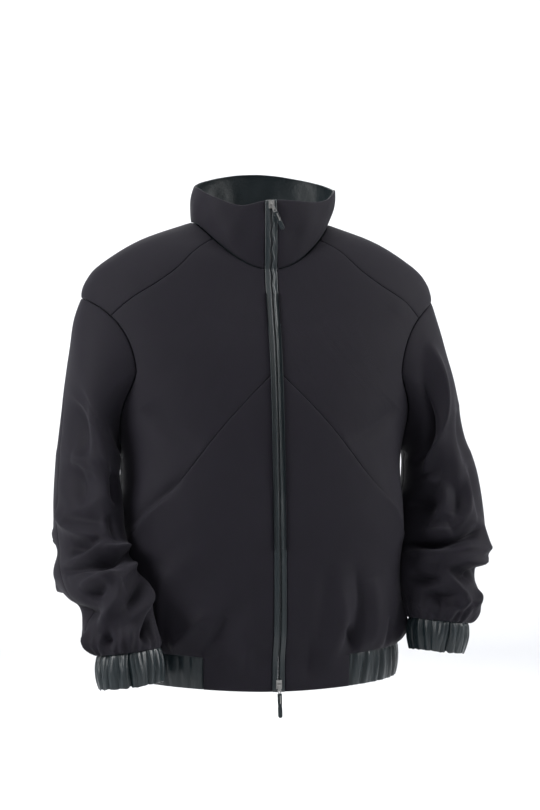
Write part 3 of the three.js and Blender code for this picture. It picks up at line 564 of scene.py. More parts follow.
def sleeve_point(name, turn, at):
    sleeve = SLEEVES[name]
    around = around_degrees(sleeve, turn)
    height = fold_height(sleeve["folds"], around, at, SLEEVE_ARC)
    height += crease_height(SLEEVE_CREASES[name], around, at, SLEEVE_ARC)
    for degrees, middle, swell, reach in sleeve["inner_bulges"]:
        off = (nearest_turn(around, degrees) - degrees) / BULGE_DEGREES
        height += swell * np.exp(-off * off - ((at - middle) / reach) ** 2)
    last = sleeve["sections"]["at"][-1]
    calm = smoothstep(at, 0, SLEEVE_TOP_CALM) * smoothstep(last - at, 0, SLEEVE_END_CALM)

    def plain(u, v):
        return plain_sleeve(sleeve, u, v)

    normal = surface_normal(plain, turn, at, 0.01, 1)
    height = height * calm + blouse(last - at, around, CUFF_TUCKS)
    point = plain(turn, at) + normal * height[..., None]
    return point * np.array([sleeve["side"], 1, 1])


def blouse(above, degrees, tucks):
    """How cloth swells and tucks above a gathered band, at a height above the band's seam."""
    above = np.maximum(above, 0)
    swell = tucks["swell"] * above / tucks["top"] * np.exp(1 - above / tucks["top"])
    fade = above / tucks["reach"] * np.exp(1 - above / tucks["reach"])
    return swell + tucks["depth"] * fade * puckers(degrees, tucks["count"], tucks["seed"])


def puckers(degrees, count, seed):
    """Uneven rounded tucks along an eased seam, from -1 to 1, a count of them all round."""
    a, b, c, d = np.random.default_rng(seed).uniform(0, 2 * np.pi, 4)
    angle = np.radians(degrees)
    warp = 1.2 * np.sin(round(count / 4.7) * angle + a)
    warp += 0.8 * np.sin(round(count / 2.3) * angle + b)
    size = 0.65 + 0.35 * np.sin(round(count / 3.1) * angle + c)
    return size * np.cos(count * angle + warp + d)


# Sampling of the cloth.

CELL = 3.4
NARROWEST_CUT = 0.0101
SEAM_DIP_REACH = 3.5
EDGE_LAND = 0.04
EDGE_STEPS = np.array([0, 0.3, 0.7, 1.2, 1.9, 3.0, 4.6])


def spread(length, cell):
    """Shares of a length, a cell apart, and closer at both ends, where an edge curls in."""
    reach = EDGE_STEPS[-1]
    middle = np.linspace(reach, length - reach, max(int((length - 2 * reach) / cell), 1) + 1)
    return np.concatenate([EDGE_STEPS[:-1], middle, (length - EDGE_STEPS[::-1])[1:]]) / length


def stretch(u, counts):
    """The stretch that each share u falls in, and how far along it."""
    stops = np.concatenate([[0], np.cumsum(counts)]) / sum(counts)
    part = np.clip(np.searchsorted(stops, u, side="right") - 1, 0, len(counts) - 1)
    return part, (u - stops[part]) / (stops[part + 1] - stops[part])


def lengths(points, axis):
    """Distance along the grid's lines from their first point, in millimetres."""
    steps = np.linalg.norm(np.diff(points, axis=axis), axis=-1)
    start = np.zeros_like(steps.take([0], axis))
    return np.concatenate([start, np.cumsum(steps, axis=axis)], axis=axis)


def grid_normal(points, loop):
    padded = points
    if loop:
        padded = np.concatenate([points[-2:-1], points, points[1:2]])
    along_u = np.gradient(padded, axis=0)
    along_v = np.gradient(padded, axis=1)
    normal = unit(np.cross(along_u, along_v))
    return normal[1:-1] if loop else normal


def curl(distance, wall):
    """How far an edge curls in through half the wall, at a distance from the edge."""
    half = wall / 2
    t = np.clip(1 - distance / half, 0, 1)
    return (half - EDGE_LAND) * (1 - np.sqrt(np.maximum(1 - t * t, 0)))


def edge_distance(points, notch, loop):
    """Distance to the nearest curled edge."""
    across, along = lengths(points, 0), lengths(points, 1)
    column, row = notch or (0, 0)
    low = along.copy()
    if notch:
        low[column:] -= along[column:, row][:, None]
        low[column:] = np.where(low[column:] < 0, FAR, low[column:])
    distance = np.minimum(low, along[:, -1:] - along)
    if loop:
        return distance
    end = np.repeat(across[-1:], len(across), axis=0)
    if notch:
        end[:, :row] = across[column, :row]
    return np.minimum(distance, np.minimum(across, np.abs(end - across)))


def boundary(m, n, notch, loop):
    """Open edges of an m by n grid of points, each as a run of grid places."""
    if loop:
        ring = list(range(m - 1)) + [0]
        return [[(i, 0) for i in ring], [(i, n - 1) for i in reversed(ring)]]
    column, row = notch or (m - 1, 0)
    run = [(i, 0) for i in range(column)]
    run += [(column, j) for j in range(row)]
    run += [(i, row) for i in range(column, m - 1)]
    run += [(m - 1, j) for j in range(row, n - 1)]
    run += [(i, n - 1) for i in range(m - 1, 0, -1)]
    run += [(0, j) for j in range(n - 1, -1, -1)]
    return [run]


def cloth(name, points, wall, side=1, notch=None, loop=False, dip=1.0):
    """A closed cloth shell on a grid of outer points, with curled edges.

    A loop's last column of points repeats its first. "dip" sinks the cloth softly
    beside a seam. "notch" is the column and row from which a corner is cut out.
    """
    m, n = points.shape[:2]
    normal = grid_normal(points, loop) * side
    near = edge_distance(points, notch, loop)
    turned, sunk = curl(near, wall), dip * np.exp(-near / SEAM_DIP_REACH)
    outer = points - normal * (turned + sunk)[..., None]
    inner = points - normal * (wall - turned + sunk)[..., None]
    across, along = lengths(points, 0), lengths(points, 1)
    flat = np.stack([across - across[-1:] / 2, along], -1) * MM

    def index(i, j):
        return (i % (m - 1) if loop else i) * n + j

    cell_i, cell_j = (a.ravel() for a in np.meshgrid(range(m - 1), range(n - 1), indexing="ij"))
    if notch:
        there = ~((cell_i >= notch[0]) & (cell_j < notch[1]))
        cell_i, cell_j = cell_i[there], cell_j[there]
    around = [(0, 0), (1, 0), (1, 1), (0, 1)]
    quads = np.stack([index(cell_i + di, cell_j + dj) for di, dj in around], -1)
    quad_flat = np.stack([flat[cell_i + di, cell_j + dj] for di, dj in around], 1)
    rim, rim_flat = [], []
    for run in boundary(m, n, notch, loop):
        for a, b in zip(run, run[1:]):
            p, q = index(*a), index(*b)
            rim.append((q, p, p + m * n, q + m * n))
            rim_flat.append((flat[b], flat[a], flat[a], flat[b]))
    faces = np.concatenate([quads, quads[:, ::-1] + m * n, np.array(rim)])
    uvs = np.concatenate([quad_flat, quad_flat[:, ::-1], np.array(rim_flat)])
    if side < 0:
        faces, uvs = faces[:, ::-1], uvs[:, ::-1]
    used, faces = np.unique(faces, return_inverse=True)
    vertices = np.concatenate([outer.reshape(-1, 3), inner.reshape(-1, 3)])[used] * MM
    faces = faces.reshape(-1, 4)
    mesh = bpy.data.meshes.new(name)
    mesh.from_pydata(vertices.tolist(), [], faces.tolist())
    layer = mesh.uv_layers.new(name="cloth")
    layer.data.foreach_set("uv", uvs.astype(np.float32).ravel())
    slots = np.zeros(len(faces), np.int32)
    slots[len(quads):2 * len(quads)] = 1
    mesh.polygons.foreach_set("material_index", slots)
    mesh.polygons.foreach_set("use_smooth", np.ones(len(faces), bool))
    mesh.update()
    return mesh, flat_size(points, notch)


def flat_size(points, notch):
    """The cut's width, length and area in metres, measured along the cloth."""
    across, along = lengths(points, 0), lengths(points, 1)
    a = points[1:, 1:] - points[:-1, :-1]
    b = points[:-1, 1:] - points[1:, :-1]
    cells = np.linalg.norm(np.cross(a, b), axis=-1) / 2
    if notch:
        cells[notch[0]:, :notch[1]] = 0
    width = max(across[-1].max() * MM, NARROWEST_CUT)
    length = along[:, -1].max() * MM
    area = cells.sum() * MM * MM
    return width, length, min(max(area, 0.31 * width * length), width * length)


def piece(name, mesh, node, materials, body=JACKET):
    """Links a mesh as a piece that rides on a body and stands for its CAD node."""
    made = bpy.data.objects.new(name, mesh)
    bpy.context.scene.collection.objects.link(made)
    for material in materials:
        mesh.materials.append(material)
    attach(made, body)
    if node:
        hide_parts(node)
    return made


def cloth_piece(name, points, wall, slot, materials, held="hung", rests_on=(), **shell):
    mesh, (width, length, area) = cloth(name, points, wall, **shell)
    node = name.removesuffix("_cloth")
    made = piece(name, mesh, node if node in frame["nodes"] else None, materials)
    return made


# Panels of the body, spanned between their seam lines as in the CAD.

NECK_FRONT, NECK_BACK, SHOULDER = 8, 12, 4
SIDE_LOW, SIDE_HIGH = 9, 5
ARMHOLE_FRONT, ARMHOLE_TIP, ARMHOLE_BACK = 8, 3, 11
BAND_CELLS = 5
NECK_CALM = 0.06
ARMHOLE_CALM = 0.2
ARMPIT_CALM = 0.08
POCKET_MIDDLE = 0.66
POCKET_REACH = 0.2

# Lengths in millimetres that set how finely each panel is sampled: across, then down.
UPPER_FRONT_GRID = (215, 350)
LOWER_FRONT_GRID = (125, 190, 330)
LOWER_HEM_GRID = 48
BACK_GRID = (520, 760)
SLEEVE_GRID = 250
COLLAR_GRID = (600, 120)
FACING_DEPTH = 4.6
FACING_WALL = 0.8


def panel_grid(across, down):
    """Shares across and down a panel, for each point of its grid."""
    return np.meshgrid(spread(across, CELL), spread(down, CELL), indexing="ij")


def span_panel(low, high, start, end, fade):
    """A place for each (u, v) between four seam lines that give (degrees, at)."""

    def place(u, v):
        shares = (u, 1 - (1 - u) ** 2)
        zero, one = np.zeros_like(u), np.ones_like(u)
        found = []
        for k, share in enumerate(shares):
            low_line = low(u)[k] - lerp(low(zero)[k], low(one)[k], share)
            high_line = high(u)[k] - lerp(high(zero)[k], high(one)[k], share)
            found.append(
                lerp(start(v)[k], end(v)[k], share)
                + (1 - v) ** 2 * low_line + v**fade * high_line
            )
        return found

    return place


def diagonal_place(u):
    row = smooth_rows(DIAGONAL, u)
    edge = width_degrees(row["height"], FRONT_EDGE)
    return np.where(u <= 0, edge, row["degrees"]), row["height"]


def front_edge_place(low, high):
    def place(v):
        at = lerp(low, high, v)
        return width_degrees(at, FRONT_EDGE), at

    return place


def shoulder_place(t):
    tip_degrees, tip_at = armhole_place(np.array(SHOULDER_SEAM["armhole_turn"]))
    a, b, c = (1 - t) ** 2, 2 * t * (1 - t), t * t
    degrees = a * SHOULDER_SEAM["neck_degrees"] + b * SHOULDER_SEAM["bend_degrees"] + c * tip_degrees
    return degrees, a * 1 + b * SHOULDER_SEAM["bend_at"] + c * tip_at


def side_place(low, high):
    def place(t):
        return np.full_like(t, ARMHOLE["middle"]), lerp(low, high, t)

    return place


def chosen(part, *places):
    """Of several (degrees, at) places, the one that each part number names."""
    return tuple(np.choose(part, [p[k] for p in places]) for k in (0, 1))


def upper_front_points(side):
    neck_start = width_degrees(np.array(1.0), FRONT_EDGE)

    def high(u):
        part, t = stretch(u, (NECK_FRONT, SHOULDER))
        neck = (lerp(neck_start, SHOULDER_SEAM["neck_degrees"], t), np.ones_like(t))
        return chosen(part, neck, shoulder_place(t))

    def end(v):
        part, t = stretch(v, (SIDE_HIGH, ARMHOLE_FRONT))
        seam = side_place(SIDE_SPLIT, ARMHOLE["low"])(t)
        return chosen(part, seam, armhole_place(lerp(np.pi, SHOULDER_SEAM["armhole_turn"], t)))

    span = span_panel(diagonal_place, high, front_edge_place(DIAGONAL["height"][0], 1.0), end, 3)
    u, v = panel_grid(*UPPER_FRONT_GRID)
    degrees, at = span(u, v)
    armpit = SIDE_HIGH / (SIDE_HIGH + ARMHOLE_FRONT)
    calm = smoothstep(1 - at, 0, NECK_CALM) * armhole_calm(u, v, armpit)
    return body_point(degrees * side, at, calm)


def armhole_calm(u, v, armpit):
    """Fades folds out towards the armhole at the end of a panel, above the armpit."""
    near = 1 - smoothstep(1 - u, 0, ARMHOLE_CALM)
    return 1 - near * smoothstep(v, armpit - ARMPIT_CALM, armpit)


def lower_front_points(side):
    columns = NECK_FRONT + SHOULDER
    split = BAND_CELLS / columns

    def hem_line(at):
        def place(u):
            start = width_degrees(np.full_like(u, at), FRONT_EDGE)
            inner = lerp(start, BAND_FRONT, u / split)
            outer = lerp(BAND_FRONT, ARMHOLE["middle"], (u - split) / (1 - split))
            return np.where(u <= split, inner, outer), np.full_like(u, at)

        return place

    span = span_panel(
        hem_line(HEM_SEAM), diagonal_place,
        front_edge_place(HEM_SEAM, DIAGONAL["height"][0]), side_place(HEM_SEAM, SIDE_SPLIT), 2,
    )
    inner_width, outer_width, height = LOWER_FRONT_GRID
    inner = spread(inner_width, CELL) * split
    outer = split + spread(outer_width, CELL) * (1 - split)
    u_line = np.concatenate([inner, outer[1:]])
    hem_rows = spread(LOWER_HEM_GRID, CELL)
    u, v = np.meshgrid(u_line, spread(height, CELL), indexing="ij")
    degrees, at = span(u, v)
    hem_u, hem_v = np.meshgrid(u_line, hem_rows[:-1], indexing="ij")
    hem_degrees = np.stack([
        hem_line(HEM_SEAM * share)(u_line)[0] for share in hem_rows[:-1]
    ], 1)
    degrees = np.concatenate([hem_degrees, degrees], 1)
    at = np.concatenate([HEM_SEAM * hem_v, at], 1)
    points = body_point(degrees * side, at)
    rise = (SIDE_LOW * v + 2) / (SIDE_LOW + 2)
    lip = POCKET_LIP * np.exp(-(((u - POCKET_MIDDLE) / POCKET_REACH) ** 2)) * rise**6
    lip = np.concatenate([np.zeros_like(hem_u), lip], 1)
    points += body_normal(degrees * side, at) * lip[..., None]
    return points, (len(inner) - 1, len(hem_rows) - 1)


def facing_points(side):
    """The facing that shows, dark, inside the pocket mouth at the diagonal seam's lower end."""
    u, across = np.meshgrid(np.linspace(0.3, 0.99, 90), np.linspace(-0.03, 0.035, 14), indexing="ij")
    degrees, at = diagonal_place(u)
    point = body_point(degrees * side, at + across)
    return point - body_normal(degrees * side, at + across) * FACING_DEPTH


def back_points():
    side_cells = (SIDE_LOW, SIDE_HIGH, ARMHOLE_BACK, ARMHOLE_TIP)

    def side_line(v):
        part, t = stretch(v, side_cells)
        return chosen(
            part,
            side_place(HEM_SEAM, SIDE_SPLIT)(t),
            side_place(SIDE_SPLIT, ARMHOLE["low"])(t),
            armhole_place(lerp(-np.pi, 0, t)),
            armhole_place(lerp(0, SHOULDER_SEAM["armhole_turn"], t)),
        )

    def opposite(place):
        return 360 - place[0], place[1]

    def high(u):
        part, t = stretch(u, (SHOULDER, NECK_BACK, SHOULDER))
        neck = SHOULDER_SEAM["neck_degrees"]
        return chosen(
            part,
            shoulder_place(1 - t),
            (lerp(neck, 360 - neck, t), np.ones_like(t)),
            opposite(shoulder_place(t)),
        )

    def low(u):
        degrees = lerp(ARMHOLE["middle"], 360 - ARMHOLE["middle"], u)
        return degrees, np.full_like(u, HEM_SEAM)

    span = span_panel(low, high, side_line, lambda v: opposite(side_line(v)), 4)
    u, v = panel_grid(*BACK_GRID)
    degrees, at = span(u, v)
    armpit = (SIDE_LOW + SIDE_HIGH) / sum(side_cells)
    calm = smoothstep(1 - at, 0, NECK_CALM)
    calm = calm * armhole_calm(u, v, armpit) * armhole_calm(1 - u, v, armpit)
    return body_point(degrees, at, calm)


def sleeve_half_points(name, front):
    if front:
        turns, counts = (0, SHOULDER_SEAM["armhole_turn"], np.pi), (ARMHOLE_TIP, ARMHOLE_FRONT)
    else:
        turns, counts = (-np.pi, 0), (ARMHOLE_BACK,)
    last = SLEEVES[name]["sections"]["at"][-1]
    u, v = panel_grid(SLEEVE_GRID, last)
    part, t = stretch(u, counts)
    turns = np.array(turns)
    turn = lerp(turns[part], turns[part + 1], t)
    return sleeve_point(name, turn, v * last)


# Gathered satin: how far bands run up under the wool, and each band's grid and pleats.

TUCKED = 0.12
TUCKED_DEGREES = 1.4
CUFF_BAND = {"tall": 56, "cell": 2.2, "columns": 421, "pleats": 16, "seed": 5}
HEM_BAND = {"tall": 54, "cell": 2.6, "columns": 900, "pleats": 54, "seed": 9}
BAND_SUNK = -4.6


def gathers(turns, up, band):
    """Uneven pleats along a gathered band, from -1 to 1: turns counts once round."""
    count = band["pleats"]
    drift = np.random.default_rng(band["seed"]).uniform(0, 2 * np.pi, 6)
    angle = turns * 2 * np.pi
    warp = 1.1 * np.sin(3 * angle + drift[0]) + 0.7 * np.sin(7 * angle + drift[1])
    slant = 2.2 * (up - 0.5) * np.sin(5 * angle + drift[2])
    size = 0.72 + 0.28 * np.sin(4 * angle + drift[5])
    broad = np.cos(count * angle + warp + slant)
    narrow = np.cos(round(count * 1.63) * angle - warp + 2 * slant + drift[3])
    fine = np.cos(round(count * 2.9) * angle + 2 * warp - 3 * slant + drift[4])
    mix = np.clip((0.78 * broad + 0.36 * narrow + 0.1 * fine) / 1.05, -1, 1)
    return size * (2 * ((mix + 1) / 2) ** 0.6 - 1)


def cuff_points(name):
    sleeve = SLEEVES[name]
    first = smooth_rows(sleeve["sections"], sleeve["sections"]["at"][-1])
    down_line = lerp(-TUCKED, 1, spread(CUFF_BAND["tall"], CUFF_BAND["cell"]))
    turns, down = np.meshgrid(np.linspace(0, 1, CUFF_BAND["columns"]), down_line, indexing="ij")
    pleat = gathers(turns, down, CUFF_BAND)
    tucked = 1 - smoothstep(down, -TUCKED, 0.06)
    down = down * (1 + 0.035 * gathers(turns, np.zeros_like(down), CUFF_BAND))
    section = dict(first)
    for column in ("x", "y", "z"):
        section[column] = first[column] + sleeve["cuff_end"][column] * down
    for column in ("wide", "deep"):
        section[column] = lerp(first[column], sleeve["cuff_end"][column], down)
    angle = turns * 2 * np.pi
    seat = section_point(section, angle)
    centre = np.stack([section["x"], section["y"], section["z"]], -1)
    crown = np.sin(np.pi * np.clip(down, 0, 1))
    wave = pleat * lerp(2.2, 4.0, crown**0.7) + 2.4 * crown - 3.2
    wave = lerp(wave, -5.2, tucked)
    point = seat + unit(seat - centre) * wave[..., None]
    return point * np.array([sleeve["side"], 1, 1])


def hem_band_points():
    up_line = spread(HEM_BAND["tall"], HEM_BAND["cell"]) * (1 + TUCKED)
    share, up = np.meshgrid(np.linspace(0, 1, HEM_BAND["columns"]), up_line, indexing="ij")
    degrees = lerp(BAND_FRONT - TUCKED_DEGREES, 360 - BAND_FRONT + TUCKED_DEGREES, share)
    at = HEM_SEAM * up
    crown = np.sin(np.pi * np.minimum(up, 1))
    wave = gathers(share, up, HEM_BAND) * lerp(1.6, 2.9, crown**0.7) - 2.4 + 1.4 * crown
    ends = smoothstep(share, 0.003, 0.009) * smoothstep(1 - share, 0.003, 0.009)
    wave = lerp(BAND_SUNK, wave, ends)
    wave = lerp(wave, BAND_SUNK, smoothstep(up, 0.94, 1 + TUCKED))
    return body_point(degrees, at) + body_normal(degrees, at) * wave[..., None]


# Collar, zip strips and tapes.

def collar_points(inset, start_width, bottom, top):
    start = width_degrees(np.array(1.0), start_width)
    share, up = panel_grid(*COLLAR_GRID)
    degrees, up = lerp(start, 360 - start, share), lerp(bottom, top, up)
    point = collar_point(degrees, up)
    rumple = 0.7 * np.sin(np.radians(degrees) * 9 + 4 * up) * np.sin(np.pi * up)
    rumple += 0.5 * np.sin(np.radians(degrees) * 17 - 5 * up + 1) * np.sin(np.pi * up)
    return point + collar_normal(degrees, up) * (rumple - inset)[..., None]


def centre_front(along, width):
    """A place beside the centre front: along is 0 at the hem, 1 at the neck, 2 at the top."""
    degrees = width_degrees(along, np.abs(width)) * np.sign(width)
    on_body = body_point(degrees, np.minimum(along, 1))
    up = np.maximum(along - 1, 0)
    return np.where((along < 1)[..., None], on_body, collar_point(degrees, up))


def centre_front_normal(along, width):
    degrees = width_degrees(along, np.abs(width)) * np.sign(width)
    below = body_normal(degrees, np.minimum(along, 0.999))
    above = collar_normal(degrees, np.maximum(along - 1, 0.02))
    share = smoothstep(along, 0.985, 1.05)[..., None]
    return unit(lerp(below, above, share))


def zip_line():
    """Shares along the centre front, evenly about 3 mm apart, from hem to collar top."""
    return np.concatenate([np.linspace(0, 1, 215, endpoint=False), np.linspace(1, 2, 38)])


def pucker(z):
    """How far the zip's strips wander sideways where the upper front is eased in."""
    window = smoothstep(z, -120, -75) * (1 - smoothstep(z, -10, 25))
    return window * np.sin(z / 4.1) + 0.25 * np.sin(z / 31) * smoothstep(-z, 100, 200)


def zip_strip_points(side):
    width_line = np.array([0, 0.35, 0.8, 1.4, 2.0, 2.7, 3.5, 4.5, 5.7, 6.9, 7.5, 8.0])
    width, along = np.meshgrid(STRIP_INNER + width_line, zip_line(), indexing="ij")
    point = centre_front(along, width * side)
    piping = np.exp(-(((width - 3) / 1.3) ** 2))
    height = STRIP_RAISE - 0.2 + piping - 0.5 * smoothstep(width, 5, 9)
    point = point + centre_front_normal(along, width * side) * height[..., None]
    wander = pucker(point[..., 2]) * (1 if side > 0 else 0.4)
    point[..., 0] += wander * smoothstep(FRONT_EDGE - width, 0, 5)
    return point


def zip_tape_points(side):
    width, along = np.meshgrid(np.linspace(TAPE_INNER, TAPE_OUTER, 8), zip_line(), indexing="ij")
    point = centre_front(along, width * side)
    return point - centre_front_normal(along, width * side) * TAPE_DEPTH


# Materials.

class Nodes:
    """A material's nodes, added one by one and joined by name."""

    def __init__(self, name, inputs=()):
        self.material = bpy.data.materials.new(name)
        self.material.use_nodes = True
        self.tree = self.material.node_tree
        self.tree.nodes.clear()
        self.shader = self.add("ShaderNodeBsdfPrincipled", inputs)
        output = self.add("ShaderNodeOutputMaterial")
        self.link(self.shader, "BSDF", output, "Surface")

    def add(self, kind, inputs=(), **settings):
        node = self.tree.nodes.new(kind)
        for name, value in settings.items():
            setattr(node, name, value)
        for name, value in dict(inputs).items():
            node.inputs[name].default_value = value
        return node

    def link(self, source, output, target, socket):
        self.tree.links.new(source.outputs[output], target.inputs[socket])

    def cloth_coordinates(self):
        """Metres along the cloth, across and down."""
        return self.add("ShaderNodeUVMap", uv_map="cloth")

    def noise(self, coordinates, output, scale, detail=3.0, roughness=0.55):
        node = self.add("ShaderNodeTexNoise", {"Scale": scale, "Detail": detail, "Roughness": roughness})
        self.link(coordinates, output, node, "Vector")
        return node

    def ribs(self, coordinates, pitch, degrees, distortion=0.0):
        """Ridges a pitch apart in metres, turned by some degrees on the cloth."""
        turn = self.add("ShaderNodeMapping")
        turn.inputs["Rotation"].default_value[2] = math.radians(degrees)
        self.link(coordinates, "UV", turn, "Vector")
        wave = self.add("ShaderNodeTexWave", {
            "Scale": math.pi / (10 * pitch), "Distortion": distortion, "Detail": 1.0,
        })
        self.link(turn, "Vector", wave, "Vector")
        return wave

    def roughness(self, source, low, high):
        """Lets a texture's factor set the roughness between two values."""
        node = self.add("ShaderNodeMapRange", {"To Min": low, "To Max": high})
        self.link(source, "Fac", node, "Value")
        self.link(node, "Result", self.shader, "Roughness")

    def mix_colour(self, factor, output, low, high):
        node = self.add("ShaderNodeMix", data_type="RGBA")
        node.inputs["A"].default_value = (*low, 1)
        node.inputs["B"].default_value = (*high, 1)
        self.link(factor, output, node, "Factor")
        return node

    def bump(self, height, output, strength, distance, under=None):
        node = self.add("ShaderNodeBump", {"Strength": strength, "Distance": distance})
        self.link(height, output, node, "Height")
        if under:
            self.link(under, "Normal", node, "Normal")
        return node

    def finish(self, colour, bump=None):
        """Joins a colour and a bump to the shader."""
        self.link(colour, "Result", self.shader, "Base Color")
        if bump:
            self.link(bump, "Normal", self.shader, "Normal")
        return self.material


def wool_material(colour):
    """Milled wool twill: fine diagonal ribs under a soft, faintly paler fuzz."""
    n = Nodes("wool_cloth", {
        "Roughness": 0.7, "Specular IOR Level": 0.07, "Sheen Weight": 0.03,
        "Sheen Roughness": 0.45, "Sheen Tint": (0.78, 0.76, 0.86, 1),
    })
    cloth_uv = n.cloth_coordinates()
    blotch = n.noise(cloth_uv, "UV", 26, 4)
    fuzz = n.noise(cloth_uv, "UV", 900, 2, 0.7)
    ribs = n.ribs(cloth_uv, 0.0013, 58, 0.6)
    base = n.mix_colour(blotch, "Fac", scaled(colour, 0.85), scaled(colour, 1.18))
    flecks = n.add("ShaderNodeMapRange", {"From Min": 0.5, "From Max": 0.85, "To Max": 0.42})
    n.link(fuzz, "Fac", flecks, "Value")
    mottle = n.noise(cloth_uv, "UV", 300, 3, 0.65)
    worn = n.add("ShaderNodeMix", data_type="RGBA", blend_type="MULTIPLY")
    worn.inputs["Factor"].default_value = 0.55
    n.link(base, "Result", worn, "A")
    n.link(mottle, "Color", worn, "B")
    speckled = n.add("ShaderNodeMix", data_type="RGBA")
    speckled.inputs["B"].default_value = (*scaled(colour, 3.0), 1)
    n.link(flecks, "Result", speckled, "Factor")
    n.link(worn, "Result", speckled, "A")
    soft = n.bump(blotch, "Fac", 0.25, 0.0016)
    woven = n.bump(ribs, "Fac", 0.3, 0.00022, soft)
    return n.finish(speckled, n.bump(fuzz, "Fac", 0.35, 0.00025, woven))


def satin_material(name, colour, roughness, rumple, gloss):
    """Satin: a smooth face with fine weft ribs and soft rumples."""
    n = Nodes(name, {
        "Specular IOR Level": gloss, "Sheen Weight": 0.02, "Sheen Tint": (0.7, 0.85, 0.9, 1),
    })
    cloth_uv = n.cloth_coordinates()
    tone = n.noise(cloth_uv, "UV", 40, 3)
    ribs = n.ribs(cloth_uv, 0.00055, 90, 0.3)
    fine = n.noise(cloth_uv, "UV", 150, 3, 0.6)
    base = n.mix_colour(tone, "Fac", scaled(colour, 0.85), scaled(colour, 1.2))
    n.roughness(fine, roughness - 0.06, roughness + 0.08)
    soft = n.bump(fine, "Fac", rumple, 0.0012)
    return n.finish(base, n.bump(ribs, "Fac", 0.25, 0.00012, soft))


def tape_material(colour):
    """Zip tape: a dense herringbone of fine ribs."""
    n = Nodes("zip_tape_weave", {"Roughness": 0.75})
    ribs = n.ribs(n.cloth_coordinates(), 0.0008, 35, 0.2)
    base = n.mix_colour(ribs, "Fac", scaled(colour, 0.7), scaled(colour, 1.3))
    return n.finish(base, n.bump(ribs, "Fac", 0.5, 0.0002))


def metal_material(colour):
    """Cast zip metal: bright and faintly uneven."""
    n = Nodes("polished_metal", {"Metallic": 1.0})
    grain = n.noise(n.add("ShaderNodeTexCoord"), "Object", 900, 3, 0.6)
    n.roughness(grain, 0.2, 0.42)
    tone = n.mix_colour(grain, "Fac", scaled(colour, 0.8), scaled(colour, 1.15))
    return n.finish(tone, n.bump(grain, "Fac", 0.15, 0.0001))


def coil_material(colour):
    """Zip coil: hard dark plastic with a faint gloss."""
    n = Nodes("zip_coil_plastic", {"Roughness": 0.38})
    grain = n.noise(n.add("ShaderNodeTexCoord"), "Object", 500, 2)
    tone = n.mix_colour(grain, "Fac", scaled(colour, 0.6), scaled(colour, 1.2))
    return n.finish(tone, n.bump(grain, "Fac", 0.2, 0.0001))


def paper_material(colour):
    """The studio's pale sweep."""
    n = Nodes("studio_paper", {"Roughness": 0.9})
    grain = n.noise(n.add("ShaderNodeTexCoord"), "Object", 60, 4)
    return n.finish(n.mix_colour(grain, "Fac", scaled(colour, 0.985), colour))


def scaled(colour, factor):
    return tuple(min(c * factor, 1.0) for c in colour[:3])


def shared(name, make, *details):
    """A material that several operators use, made once."""
    return bpy.data.materials.get(name) or make(*details)


def wool():
    return shared("wool_cloth", wool_material, bpy.context.scene.jacket_colours.wool)


def satin(name="satin_face", shade=0.85, roughness=0.31, rumple=0.3, gloss=0.24):
    colour = scaled(bpy.context.scene.jacket_colours.satin, shade)
    return shared(name, satin_material, name, colour, roughness, rumple, gloss)


# Painted shade: the lining is the same satin as the face, painted darker (0.6 of the satin colour
# against the face's 0.85) for the shade inside the collar and the jacket.
def lining_satin_painted_shade():
    return satin("satin_lining", 0.6, 0.44, 0.6, 0.08)


def metal():
    return shared("polished_metal", metal_material, bpy.context.scene.jacket_colours.metal)


# Settings that a user would change.

def colour_setting(name, description, default):
    return bpy.props.FloatVectorProperty(
        name=name, description=description, default=default, subtype="COLOR", min=0, max=1,
    )


def size_setting(name, description, default, **limits):
    return bpy.props.FloatProperty(
        name=name, description=description, default=default, unit="LENGTH", precision=4, **limits,
    )


def in_mm(size):
    return round(size / MM, 3)


class JacketColours(bpy.types.PropertyGroup):
    """Colours of the cloths and the zip metal."""

    wool: colour_setting("Wool", "Colour of the wool twill", (0.0066, 0.0059, 0.0086))
    satin: colour_setting("Satin", "Colour of the satin and lining", (0.0045, 0.0078, 0.0094))
    tape: colour_setting("Zip tape", "Colour of the zip tape and coil", (0.012, 0.015, 0.019))
    metal: colour_setting("Metal", "Colour of the sliders and pulls", (0.25, 0.246, 0.238))


class JacketSizes(bpy.types.PropertyGroup):
    """Cloth sizes that can change without leaving the CAD frame."""

    wool_wall: size_setting(
        "Wool wall", "Thickness of the wool with its backing", 0.003, min=0.0015, max=0.0035,
    )
    satin_wall: size_setting(
        "Satin wall", "Thickness of the satin bands and strips", 0.0016, min=0.0008, max=0.002,
    )
    lining_wall: size_setting(
        "Lining wall", "Thickness of the collar's lining", 0.0012, min=0.0006, max=0.0014,
    )
    tape_wall: size_setting(
        "Tape wall", "Thickness of the zip tapes", 0.001, min=0.0005, max=0.0012,
    )
    tooth_pitch: size_setting(
        "Tooth pitch", "Distance between zip teeth on one side", 0.0019, min=0.0014, max=0.003,
    )


class JacketStage(bpy.types.PropertyGroup):
    """The camera, the lights and the floor."""

    distance: size_setting("Camera distance", "From camera to the jacket's middle", 3.2, min=1)
    height: size_setting("Camera height", "Height of the level camera", -0.2635)
    azimuth: bpy.props.FloatProperty(
        name="Camera azimuth", description="Turn of the camera from straight in front",
        default=math.radians(-11), subtype="ANGLE",
    )
    sideways: size_setting("Camera sideways", "How far the camera stands to its right", 0.017)
    lens: bpy.props.FloatProperty(
        name="Lens", description="Focal length on a 36 mm long side, in millimetres",
        default=91.8, min=10, unit="CAMERA",
    )
    floor: size_setting("Floor height", "Height of the studio floor", -1.35)
    light: bpy.props.FloatProperty(
        name="Light", description="Strength of the soft lights together",
        default=1.0, min=0, subtype="FACTOR", soft_max=3,
    )
    paper: colour_setting("Backdrop", "Colour of the floor and backdrop", (0.80, 0.805, 0.82))


